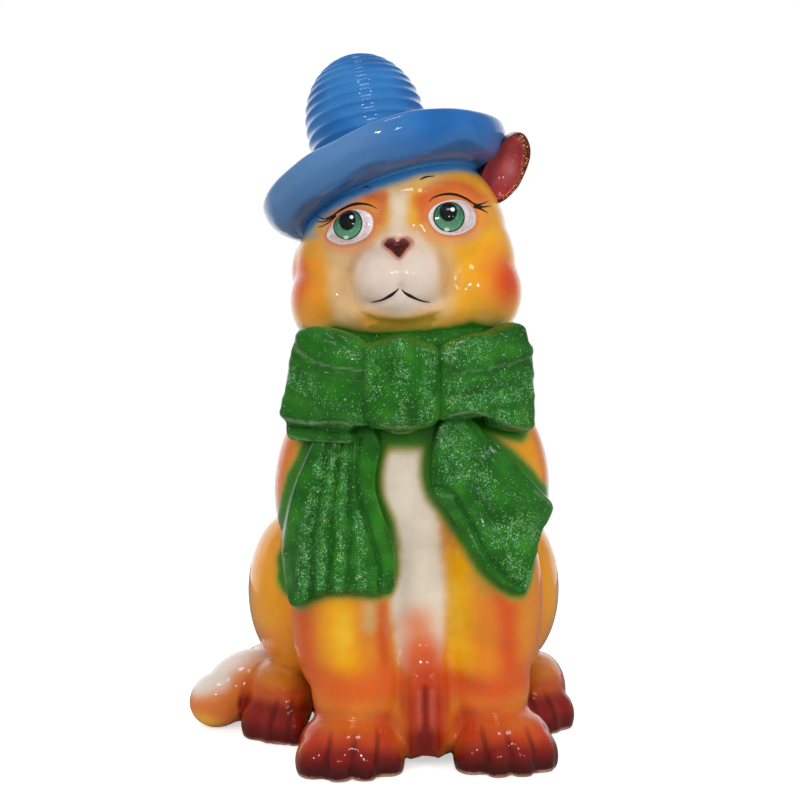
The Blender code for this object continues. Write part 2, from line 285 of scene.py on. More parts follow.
# soft coats of colour over a piece, kept as a colour at each point
class Airbrush:
    def __init__(self, piece, base, place=Matrix()):
        self.piece = piece
        self.points = pointsOf(piece, place)
        self.normals = normalsOf(piece, place)
        self.front = softStep(0.9 - self.normals[:, 1] * 3)
        self.paint = np.tile(colour(base), (len(self.points), 1))
        self.wander = ripple(self.points, 16.0) * 2.0 + ripple(self.points, 5.0, 7) * 0.8

    def lay(self, code, weight):
        weight = np.clip(weight, 0, 1)[:, None]
        self.paint = self.paint * (1 - weight) + colour(code) * weight

    def puff(self, code, centre, size, strength=1.0, soft=0.8):
        away = np.linalg.norm((self.points - np.array(centre)) / np.array(size), axis=1)
        away += self.wander * 0.03
        self.lay(code, strength * softStep((1 - away) / soft))

    def pull(self, code, line, width, strength=1.0, soft=0.8):
        away = (distanceTo(self.points, line) + self.wander * 0.6) / width
        self.lay(code, strength * softStep((1 - away) / soft))

    # a coat laid from the front, on lines given as X and Z
    def dab(self, code, line, width, strength=1.0, soft=0.6, depth=(-200, 200)):
        y = self.points[:, 1]
        away = (frontDistance(self.points, line) + self.wander * 0.6) / width
        inDepth = softStep((y - depth[0]) / 6) * softStep((depth[1] - y) / 6)
        self.lay(code, strength * softStep((1 - away) / soft) * inDepth * self.front)

    def shape(self, code, outline, strength=1.0, soft=1.2, wobble=0.3):
        sign = np.where(insideOutline(self.points, outline), -1, 1)
        away = outlineDistance(self.points, outline) * sign + self.wander * wobble
        self.lay(code, strength * softStep(0.5 - away / (2 * soft)) * self.front)

    def store(self):
        values = np.ones((len(self.paint), 4), np.float32)
        values[:, :3] = self.paint
        layer = self.piece.data.color_attributes.new("paint", "FLOAT_COLOR", "POINT")
        layer.data.foreach_set("color", values.ravel())


def storeValue(piece, name, values):
    layer = piece.data.attributes.new(name, "FLOAT", "POINT")
    layer.data.foreach_set("value", np.clip(values, 0, 1).astype(np.float32))


# shader nodes and links of one material or of the world
class NodeBench:
    def __init__(self, owner, shader="Principled BSDF"):
        owner.use_nodes = True
        self.owner = owner
        self.tree = owner.node_tree
        self.shader = self.tree.nodes[shader]

    def feed(self, socket, value):
        if isinstance(value, bpy.types.NodeSocket):
            self.tree.links.new(value, socket)
        else:
            socket.default_value = value

    def add(self, kind, inputs=None, **settings):
        node = self.tree.nodes.new("ShaderNode" + kind)
        for key, value in settings.items():
            setattr(node, key, value)
        for key, value in (inputs or {}).items():
            self.feed(node.inputs[key], value)
        return node

    def plug(self, name, value):
        self.feed(self.shader.inputs[name], value)

    def math(self, operation, a, b=0.0):
        return self.add("Math", {0: a, 1: b}, operation=operation).outputs[0]

    def mix(self, factor, a, b, blend="MIX"):
        inputs = {0: factor, 6: a, 7: b}
        return self.add("Mix", inputs, data_type="RGBA", blend_type=blend).outputs[2]

    def span(self, value, low, high, out0=0.0, out1=1.0):
        inputs = {0: value, 1: low, 2: high, 3: out0, 4: out1}
        return self.add("MapRange", inputs, interpolation_type="SMOOTHSTEP").outputs[0]

    def noise(self, where, scale, detail=2.0):
        inputs = {"Vector": where, "Scale": scale, "Detail": detail}
        return self.add("TexNoise", inputs).outputs["Fac"]

    def where(self):
        return self.add("TexCoord").outputs["Object"]

    def attribute(self, name, output="Fac"):
        return self.add("Attribute", attribute_name=name).outputs[output]

    # uneven gloss coat: slow waves, orange peel and a slightly mottled sheen
    def lacquer(self, where, waves=0.35, peel=0.05):
        slow = self.noise(where, 95.0, 1.0)
        fine = self.noise(where, 620.0, 2.0)
        first = self.add("Bump", {"Height": slow, "Strength": waves, "Distance": 0.0012})
        second = self.add("Bump", {"Height": fine, "Strength": peel, "Distance": 0.0003,
                                   "Normal": first.outputs[0]})
        self.plug("Normal", second.outputs[0])
        self.plug("Coat Normal", second.outputs[0])
        rough = self.span(self.noise(where, 240.0), 0.3, 0.7, 0.26, 0.42)
        self.plug("Roughness", rough)
        self.plug("Specular IOR Level", 0.15)
        self.plug("Coat Weight", 1.0)
        self.plug("Coat Roughness", 0.045)
        self.plug("Coat IOR", 1.5)


paintValues = {
    "mottle": 0.06, "speckle": 0.02,
    "dirtSize": 0.014, "dirtShare": 0.07, "dirtRadius": 0.022,
}


def airbrushedPaint(name, waves=0.35):
    bench = NodeBench(bpy.data.materials.new(name))
    where = bench.where()
    paint = bench.attribute("paint", "Color")
    mottle = paintValues["mottle"]
    speckle = paintValues["speckle"]
    slow = bench.span(bench.noise(where, 70.0, 3.0), 0.3, 0.7, 1 - mottle, 1 + mottle * 0.5)
    grain = bench.span(bench.noise(where, 1500.0, 1.0), 0.3, 0.7, 1 - speckle, 1 + speckle)
    shade = bench.math("MULTIPLY", slow, grain)
    painted = bench.mix(1.0, paint, shade, "MULTIPLY")
    cells = bench.add("TexVoronoi", {"Vector": where, "Scale": 1 / paintValues["dirtSize"]})
    pick = bench.add("SeparateColor", {0: cells.outputs["Color"]}).outputs[0]
    chosen = bench.math("GREATER_THAN", pick, 1 - paintValues["dirtShare"])
    small = bench.math("LESS_THAN", cells.outputs["Distance"], paintValues["dirtRadius"])
    dirt = bench.math("MULTIPLY", bench.math("MULTIPLY", chosen, small), 0.7)
    bench.plug("Base Color", bench.mix(dirt, painted, (0.05, 0.025, 0.015, 1)))
    bench.lacquer(where, waves)
    return bench.owner


glitterValues = {"flake": 0.00050, "tilt": 0.75, "mostFlakes": 0.72, "metal": 0.3}


# lacquer with loose tilted flakes; the glitter attribute says how many
def glitterPaint(name, flakeColours):
    bench = NodeBench(bpy.data.materials.new(name))
    where = bench.where()
    paint = bench.attribute("paint", "Color")
    amount = bench.attribute("glitter")
    slow = bench.span(bench.noise(where, 85.0, 3.0), 0.3, 0.7, 0.78, 1.14)
    painted = bench.mix(1.0, paint, slow, "MULTIPLY")
    cells = bench.add("TexVoronoi", {"Vector": where, "Scale": 1 / glitterValues["flake"]})
    parts = bench.add("SeparateColor", {0: cells.outputs["Color"]})
    clump = bench.span(bench.noise(where, 260.0, 2.0), 0.32, 0.66, 0.25, 1.25)
    share = bench.math("MULTIPLY", amount, clump)
    limit = bench.math("SUBTRACT", 1.0, bench.math("MULTIPLY", share, glitterValues["mostFlakes"]))
    isFlake = bench.math("GREATER_THAN", parts.outputs[0], limit)
    ramp = bench.add("ValToRGB", {0: parts.outputs[1]})
    ramp.color_ramp.interpolation = "CONSTANT"
    stops = ramp.color_ramp.elements
    stops[0].color = tint(flakeColours[0][1])
    stops[1].position = flakeColours[1][0]
    stops[1].color = tint(flakeColours[1][1])
    for place, code in flakeColours[2:]:
        stops.new(place).color = tint(code)
    bench.plug("Base Color", bench.mix(isFlake, painted, ramp.outputs[0]))
    bench.plug("Metallic", bench.math("MULTIPLY", isFlake, glitterValues["metal"]))
    slowBump = bench.noise(where, 150.0, 2.0)
    bump = bench.add("Bump", {"Height": slowBump, "Strength": 0.35, "Distance": 0.0012})
    centred = bench.add("VectorMath", {0: cells.outputs["Color"], 1: (0.5, 0.5, 0.5)},
                        operation="SUBTRACT").outputs[0]
    tilt = bench.add("VectorMath", {0: centred, "Scale": glitterValues["tilt"]}, operation="SCALE")
    leaned = bench.add("VectorMath", {0: bump.outputs[0], 1: tilt.outputs[0]}, operation="ADD")
    unit = bench.add("VectorMath", {0: leaned.outputs[0]}, operation="NORMALIZE").outputs[0]
    normal = bench.add("Mix", {0: isFlake, 4: bump.outputs[0], 5: unit}, data_type="VECTOR")
    bench.plug("Normal", normal.outputs[1])
    grit = bench.add("Bump", {"Height": cells.outputs["Distance"], "Distance": 0.00012,
                              "Strength": bench.math("MULTIPLY", amount, 0.5),
                              "Normal": bump.outputs[0]})
    bench.plug("Coat Normal", grit.outputs[0])
    bench.plug("Roughness", bench.math("SUBTRACT", 0.42, bench.math("MULTIPLY", isFlake, 0.16)))
    bench.plug("Specular IOR Level", 0.2)
    bench.plug("Coat Weight", 0.6)
    bench.plug("Coat Roughness", 0.12)
    return bench.owner


def finishPiece(piece, material, slot, *nodes):
    piece.data.materials.clear()
    piece.data.materials.append(material)
    piece.data.shade_smooth()
    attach(piece, "root")
    if nodes:
        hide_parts(*nodes)


# The scarf comes first, because its overspray colours what lies round it.
bow = {
    "ring": {"centre": (-2, -8, 222), "reach": (48, 40), "ball": (13, 13, 18), "count": 36},
    "knot": (
        ("box", (-12, -66, 209), (21, 13, 23)),
        ("ball", (-12, -67, 207), (21, 14, 24)),
        ("ball", (-12, -67, 226), (17, 11, 9)),
    ),
    "loopRight": (
        ("box", (-42, -61, 210), (15, 11, 19), (0, 0, -16)),
        ("box", (-57, -51, 208), (13, 11, 24), (0, 11, -38)),
        ("ball", (-46, -59, 229), (22, 9, 9), (0, 12, -22)),
        ("box", (-60, -50, 195), (13, 10, 9), (0, 8, -36)),
        ("box", (-52, -54, 184), (19, 8, 6), (0, 0, -24)),
        ("box", (-34, -64, 209), (7, 9, 20), (0, 0, -6)),
    ),
    "loopLeft": (
        ("box", (24, -61, 209), (16, 11, 19), (0, 0, 16)),
        ("box", (46, -52, 207), (14, 11, 24), (0, -4, 38)),
        ("box", (42, -55, 230), (14, 9, 7), (0, -14, 30)),
        ("ball", (26, -61, 226), (20, 9, 9), (0, -6, 18)),
        ("box", (50, -50, 189), (11, 9, 9), (0, 14, 38)),
        ("box", (11, -64, 209), (7, 9, 19), (0, 0, 6)),
    ),
}
torsoMasses = (
    ("ball", (0, -14, 158), (60, 45, 66)),
    ("ball", (0, 10, 88), (61, 52, 88)),
    ("ball", (0, 34, 50), (70, 44, 74)),
    ("ball", (-2, -8, 218), (50, 42, 40)),
    ("ball", (3, -22, 66), (30, 31, 104)),
    ("ball", (2, -38, 34), (24, 25, 40)),
    ("ball", (2, -52, 20), (20, 14, 20)),
    ("ball", (-2, -58, 28), (3.5, 6, 15), (6, 0, 0)),
    ("ball", (5, -58, 28), (3.5, 6, 15), (6, 0, 0)),
)
forelegs = (
    ("ball", (-44, -22, 150), (32, 34, 52), (0, 6, 0)),
    ("ball", (-38, -34, 92), (30, 30, 62), (0, 7, 0)),
    ("ball", (-32, -38, 42), (26, 27, 44), (0, 2, 0)),
    ("ball", (-38, -52, 11), (28, 28, 19)),
    ("ball", (42, -22, 150), (32, 34, 52), (0, -6, 0)),
    ("ball", (40, -34, 92), (29, 30, 62), (0, -5, 0)),
    ("ball", (38, -38, 42), (24, 27, 44), (0, -2, 0)),
    ("ball", (45, -54, 11), (27, 28, 19)),
)
hindParts = (
    ("ball", (-60, 22, 78), (30, 46, 47)),
    ("ball", (59, 22, 78), (29, 46, 47)),
    ("ball", (-74, 18, 16), (19, 31, 22), (0, 0, 14)),
    ("ball", (75, 18, 16), (18, 31, 22), (0, 0, -14)),
    ("ball", (-56, 58, 23), (26, 20, 22)),
    ("ball", (-74, 46, 20), (26, 22, 22), (0, -6, 25)),
    ("ball", (-91, 33, 20), (27, 18, 20), (0, -14, 30)),
    ("ball", (-107, 23, 15), (18, 15, 16), (0, -14, 20)),
)
toes = {
    "size": (9.6, 14, 13.5),
    "level": 6,
    "places": ((-59, -63), (-46, -69), (-32, -69), (-19, -63),
               (26, -65), (39, -71), (52, -71), (64, -65),
               (-86, 4), (-77, -4), (-67, -8), (67, -8), (77, -4), (86, 4)),
}
toeMasses = tuple(("ball", (x, y, toes["level"]), toes["size"]) for x, y in toes["places"])
scarfEnds = {
    "right": ((-49, 190), (-63, 165), (-69, 148), (-72, 131), (-73, 113), (-71, 93), (-67, 90),
              (-54, 99), (-37, 100), (-20, 97.5), (-16, 100), (-14.6, 114), (-18, 130),
              (-25, 152), (-24, 168), (-22.5, 178), (-30, 190)),
    "left": ((11, 190), (5, 174), (5, 153), (12, 142.5), (20, 130.6), (28, 116.4), (39, 104),
             (51, 96.5), (56, 100), (62, 119), (71, 135), (71.4, 141), (65, 148), (51, 163.7),
             (37, 177), (25.5, 190)),
    "thickness": 9, "lift": 2.5, "voxel": 0.95, "smooth": 7,
}


def glitterOf(piece, puffs, base=0.0):
    points = pointsOf(piece)
    wander = ripple(points, 7.0, 3) * 0.35
    amount = np.full(len(points), base)
    for line, width, strength in puffs:
        away = frontDistance(points, line) / width + wander
        amount = np.maximum(amount, strength * softStep((1.15 - away) / 0.7))
    storeValue(piece, "glitter", amount)


greens = {"base": "1f6a12", "deep": "114a0a", "bright": "378c18", "wearAndPaintedLight": "6f9464"}


def paintGreen(piece, wearAndPaintedLight=(), bright=(), deep=()):
    brush = Airbrush(piece, greens["base"])
    patch = ripple(brush.points, 13.0, 5)
    brush.lay(greens["bright"], softStep(patch * 2.2 - 0.15) * 0.45)
    brush.lay(greens["deep"], softStep(-patch * 2.2 - 0.1) * 0.5)
    # Deep lines are painted shade in the grooves and pleats, bright lines are painted highlight on
    # tops and edges, and the pale lines of wear are worn paint with painted highlight on the ridges
    # and edges.
    for code, lines in ((greens["deep"], deep), (greens["bright"], bright), (greens["wearAndPaintedLight"], wearAndPaintedLight)):
        for line, width, strength in lines:
            away = frontDistance(brush.points, rounded(line))
            away += ripple(brush.points, 3.0, 11) * 0.9
            brush.lay(code, strength * softStep(1.2 - away / width))
    brush.store()


def makeScarfBand():
    ring = bow["ring"]
    x, y, z = ring["centre"]
    masses = []
    for step in range(ring["count"]):
        angle = 2 * math.pi * step / ring["count"]
        at = (x + ring["reach"][0] * math.cos(angle), y + ring["reach"][1] * math.sin(angle), z)
        masses.append(("ball", at, ring["ball"]))
    band = clay("scarfBand", masses, voxel=1.5, smooth=20)
    points = pointsOf(band)
    normals = normalsOf(band)
    angle = np.arctan2(points[:, 1] - y, points[:, 0] - x)
    fold = np.sin((points[:, 2] - z) / 5.4 + 1.3 * np.sin(angle * 2) + 0.6 * np.sin(angle * 5))
    outward = softStep(np.linalg.norm(normals[:, :2], axis=1) * 1.4 - 0.2)
    push = fold * 1.1 * outward + ripple(points, 9.0) * 0.8
    setPoints(band, points + normals * push[:, None])
    return band


def makeKnot():
    knot = clay("bowKnot", bow["knot"], voxel=1.1, smooth=14)
    carve(knot, (
        (((-27, 236), (-26, 222), (-27, 206)), 1.7, 1.5),
        (((-19, 236), (-19, 224), (-20, 212)), 1.5, 1.3),
        (((-5, 236), (-5, 224), (-4, 210)), 1.6, 1.3),
        (((3, 236), (3, 222), (5, 206)), 1.7, 1.5),
        (((-12, 232), (-12, 224)), 4.0, -1.2),
        (((-24, 214), (-22, 196)), 2.4, -0.6),
        (((-2, 214), (-3, 196)), 2.4, -0.6),
        (((-13, 206), (-13, 192)), 2.4, -0.6),
        (((-31, 190), (-20, 187), (-4, 187), (8, 190)), 1.4, 0.7),
    ))
    return knot


def makeLoops():
    right = clay("bowLoopRight", bow["loopRight"], voxel=1.2, smooth=8)
    carve(right, (
        (((-73, 232), (-66.6, 228), (-54.8, 219.5), (-44, 217), (-31, 215.5)), 1.6, 1.8),
        (((-70, 221), (-54, 214), (-31, 211.5)), 2.6, -0.8),
        (((-74, 206), (-56, 205), (-30, 206)), 3.0, -0.6),
        (((-76, 193), (-59, 191.5), (-43, 192), (-30, 190)), 2.4, -1.2),
        (((-76, 186.5), (-59, 184.5), (-43, 185.5), (-30, 184)), 1.5, 2.4),
        (((-48, 236), (-40, 229), (-31, 227)), 1.5, 1.0),
        (((-60, 239), (-46, 232), (-31, 231)), 1.3, 0.8),
    ))
    left = clay("bowLoopLeft", bow["loopLeft"], voxel=1.2, smooth=8)
    carve(left, (
        (((12, 214), (36, 216), (60, 220)), 1.3, 1.5),
        (((12, 218.5), (36, 221), (60, 225)), 2.4, -0.7),
        (((12, 204), (38, 206.5), (60, 207)), 1.2, 0.9),
        (((12, 209), (38, 211.5), (60, 212)), 2.2, -0.6),
        (((12, 199), (38, 201), (62, 200)), 2.0, -0.5),
        (((12, 195.5), (25, 196.5), (41, 190.5), (52, 186), (62, 184)), 2.2, -1.0),
        (((12, 191), (25, 192.2), (41, 186), (52, 181), (60, 179)), 1.3, 2.2),
        (((14, 231), (34, 232), (56, 237)), 2.0, 1.0),
    ))
    return right, left


def makeScarfEnd(side, skin, inside):
    outline = smoothed(scarfEnds[side], 3, closed=True)
    end = slab("scarfEnd" + side.title(), outline, -130, 120)
    cut(end, skin, "INTERSECT", keep=True)
    cut(end, inside, "DIFFERENCE", keep=True)
    evened(end, scarfEnds["voxel"], scarfEnds["smooth"])
    return end


print("scarf and bow")
scarfBand = makeScarfBand()
bowKnot = makeKnot()
bowLoopRight, bowLoopLeft = makeLoops()
skin = clay("skin", torsoMasses + forelegs, grow=scarfEnds["thickness"], voxel=2.0, smooth=10)
inside = clay("inside", torsoMasses + forelegs, grow=-scarfEnds["lift"], voxel=2.4, smooth=6)
scarfEndRight = makeScarfEnd("right", skin, inside)
scarfEndLeft = makeScarfEnd("left", skin, inside)
discard(skin)
discard(inside)

pleats = {
    "a": ((-49, 178), (-56, 150), (-58.5, 124), (-60, 96)),
    "b": ((-43, 179), (-47, 150), (-49, 124), (-50.5, 98)),
    "c": ((-37.5, 177), (-38.5, 150), (-39.5, 124), (-41, 99)),
    "band": ((-33.4, 180), (-34.6, 157), (-29.6, 136), (-23.5, 115), (-23.5, 99)),
    "left1": ((18, 186), (36, 160), (54, 138), (66, 128)),
    "left2": ((12, 170), (26, 150), (42, 128), (56, 108)),
    "ledge": ((4.8, 155), (13.9, 152.5), (23.2, 138.5), (32.5, 119.5), (43, 107), (53, 101)),
}
carve(scarfEndRight, (
    (pleats["a"], 1.7, 1.8), (pleats["b"], 1.7, 2.0), (pleats["c"], 1.6, 1.7),
    (pleats["band"], 1.3, 1.6),
    (((-54, 168), (-61, 140), (-65, 100)), 2.4, -1.0),
    (((-46, 172), (-52, 140), (-55, 100)), 2.0, -1.2),
    (((-41, 172), (-43.5, 140), (-45.5, 102)), 2.0, -1.2),
    (((-35, 140), (-34, 101)), 2.6, -1.2),
    (((-68, 103), (-52, 102.5), (-30, 103), (-17, 102)), 1.6, -0.8),
))
carve(scarfEndLeft, (
    (pleats["ledge"], 1.3, 1.9),
    (pleats["left1"], 2.2, 1.2), (pleats["left2"], 2.0, 1.1),
    (((24, 184), (44, 158), (66, 140)), 2.4, -0.9),
    (((14, 180), (32, 152), (52, 128), (60, 118)), 2.6, -0.9),
))

# The deep lines below are painted shade in the pleats and grooves, the bright lines painted highlight
# on the tops and an edge, and the pale lines of wear worn paint with painted highlight on the ridges
# and edges.
paintGreen(scarfBand, bright=((((-60, 226), (0, 228), (56, 230)), 6, 0.3),))
paintGreen(bowKnot, bright=((((-30, 230), (6, 230)), 5, 0.4),),
           wearAndPaintedLight=((((-33, 196), (-32, 215)), 1.2, 0.25),))
paintGreen(bowLoopRight,
           wearAndPaintedLight=((((-68, 229), (-54.8, 221), (-32, 217.5)), 0.9, 0.75),
                 (((-76, 190.5), (-59, 189), (-43, 190), (-31, 188)), 1.2, 0.95),
                 (((-72, 181), (-53.7, 178.5), (-38, 179)), 1.0, 0.7)),
           deep=((((-76, 186), (-43, 185), (-30, 184)), 1.6, 0.8),
                 (((-70, 226), (-54, 217), (-31, 213.5)), 1.4, 0.5)))
paintGreen(bowLoopLeft,
           wearAndPaintedLight=((((14, 215.5), (36, 217.5), (60, 221.5)), 0.8, 0.6),
                 (((13, 193), (25.4, 194.5), (41, 188), (52, 183.5), (60, 182)), 1.1, 0.85)),
           deep=((((12, 190.5), (25, 191.5), (41, 185), (52, 180)), 1.6, 0.8),))
paintGreen(scarfEndRight, bright=((((-22, 170), (-24, 140), (-17, 112)), 4, 0.45),),
           wearAndPaintedLight=((((-70, 150), (-73, 118)), 1.0, 0.4),),
           deep=((pleats["band"], 1.4, 0.7), (pleats["a"], 1.4, 0.6), (pleats["b"], 1.4, 0.7),
                 (pleats["c"], 1.4, 0.6)))
paintGreen(scarfEndLeft, deep=((pleats["ledge"], 1.6, 0.55),),
           wearAndPaintedLight=((((9, 150), (16, 149)), 1.0, 0.5),
                 (((60, 150), (71, 138), (62, 118), (55, 100)), 0.9, 0.5)))

glitterOf(scarfBand, ((((-60, 222), (56, 222)), 5, 0.25),), 0.12)
glitterOf(bowKnot, (
    (((-28, 226), (-28, 206)), 5, 0.7), (((-14, 230), (-13, 190)), 5, 0.75),
    (((2, 226), (0, 192)), 5, 0.8), (((-26, 196), (-22, 190)), 4, 0.45),
), 0.14)
glitterOf(bowLoopRight, (
    (((-70, 214), (-60, 208)), 7, 0.7), (((-56, 204), (-36, 200)), 6, 0.35),
    (((-44, 228), (-36, 226)), 4, 0.4), (((-38, 196), (-34, 190)), 5, 0.35),
), 0.06)
glitterOf(bowLoopLeft, (
    (((14, 226), (30, 227)), 7, 0.85), (((14, 208), (58, 210)), 6, 0.6),
    (((16, 200), (58, 203)), 5, 0.95), (((30, 193), (54, 189)), 5, 0.85),
), 0.14)
glitterOf(scarfEndRight, (
    (((-54, 166), (-62, 130), (-64, 98)), 4, 1.0), (((-46, 176), (-53, 130), (-55, 104)), 3.6, 1.0),
    (((-41, 172), (-44, 130), (-45, 104)), 3.4, 1.0), (((-34, 140), (-33, 104)), 3.6, 0.9),
), 0.05)
glitterOf(scarfEndLeft, (
    (((16, 180), (20, 162)), 11, 1.0), (((26, 170), (34, 150)), 9, 0.8),
    (((42, 128), (58, 130)), 9, 1.0), (((48, 114), (54, 104)), 7, 1.0),
    (((48, 148), (60, 138)), 7, 0.35),
), 0.08)

scarfGlitter = glitterPaint("scarfGlitter", (
    (0.0, "226e20"), (0.24, "3f9438"), (0.48, "5fae4c"), (0.70, "86c66c"),
    (0.84, "2f8c86"), (0.90, "c8e4a4"), (0.95, "58aea4"),
))
scarfPieces = (
    (scarfBand, "neck_scarf"), (bowKnot, "bow_knot"),
    (bowLoopRight, "bow_loop_right"), (bowLoopLeft, "bow_loop_left"),
    (scarfEndRight, "scarf_end_right"), (scarfEndLeft, "scarf_end_left"),
)
for piece, node in scarfPieces:
    finishPiece(piece, scarfGlitter, "green_glitter", node)

scarfPoints = []
scarfFaces = []
for piece, node in scarfPieces:
    start = len(scarfPoints)
    scarfPoints.extend(pointsOf(piece).tolist())
    scarfFaces.extend([[start + i for i in face.vertices] for face in piece.data.polygons])
scarfTree = BVHTree.FromPolygons([Vector(p) for p in scarfPoints], scarfFaces)


def scarfDistance(points, reach):
    found = np.full(len(points), reach)
    for i, point in enumerate(points):
        hit = scarfTree.find_nearest(Vector(point), reach)
        if hit[3] is not None:
            found[i] = hit[3]
    return found


print("body")
bodyValues = {
    "voxel": 1.6, "smooth": 12, "neckLevel": 232, "pourHole": (0, 30), "holeRadius": 19, "wall": 7,
    "hollowFloor": 9, "hollowTop": 224, "far": 300,
    "arch": ("ball", (2, -46, -3), (10, 40, 10)),
}


def makeBody():
    masses = torsoMasses + forelegs + hindParts + toeMasses
    body = clay("catBody", masses, voxel=bodyValues["voxel"], smooth=bodyValues["smooth"])
    cut(body, clay("arch", (bodyValues["arch"],), voxel=1.6, smooth=2))
    far = bodyValues["far"]
    cut(body, block((-far, -far, -200), (far, far, 0)))
    cut(body, block((-far, -far, bodyValues["neckLevel"]), (far, far, 600)))
    hollow = clay("hollow", torsoMasses[:4], grow=-bodyValues["wall"], voxel=3.0, smooth=4)
    cut(hollow, block((-far, -far, -200), (far, far, bodyValues["hollowFloor"])))
    cut(hollow, block((-far, -far, bodyValues["hollowTop"]), (far, far, 600)))
    x, y = bodyValues["pourHole"]
    bpy.ops.object.select_all(action="DESELECT")
    bpy.ops.mesh.primitive_cylinder_add(vertices=64, radius=1, depth=2)
    hole = bpy.context.object
    radius = bodyValues["holeRadius"]
    hole.matrix_world = figureFrame @ spot((x, y, 6)) @ Matrix.Diagonal((radius, radius, 16, 1))
    bpy.ops.object.transform_apply(location=True, rotation=True, scale=True)
    cut(hollow, hole, "UNION")
    cut(body, hollow)
    return body


catBody = makeBody()
toeGrooves = []
for x in (-52.5, -39, -26, 32.5, 45.5, 58, -79.5, -70, 70.5, 80.5):
    lean = 0.06 * x
    toeGrooves.append((((x - lean, 24), (x, 12), (x, 0)), 1.3, 0.7))
carve(catBody, toeGrooves + [
    (((-60, 52), (-50, 48), (-40, 46), (-30, 47), (-21, 50)), 4.0, 0.7),
    (((12, 49), (22, 45), (33, 43.5), (44, 45), (54, 50)), 4.0, 0.7),
    (((-4.5, 48), (-4.5, 10)), 2.0, -1.6),
    (((6.7, 48), (6.7, 10)), 2.0, -1.6),
    (((1, 50), (1, 8)), 2.0, 1.6),
    (((-13, 60), (-12, 30)), 2.0, 1.0),
    (((15, 60), (16, 30)), 2.0, 1.0),
    (((-14, 112), (-18, 84), (-16, 60)), 4.0, 1.0),
    (((18, 116), (20, 88), (16, 60)), 4.0, 1.0),
    (((24, 120), (30, 96), (28, 70)), 5.0, -0.8),
])


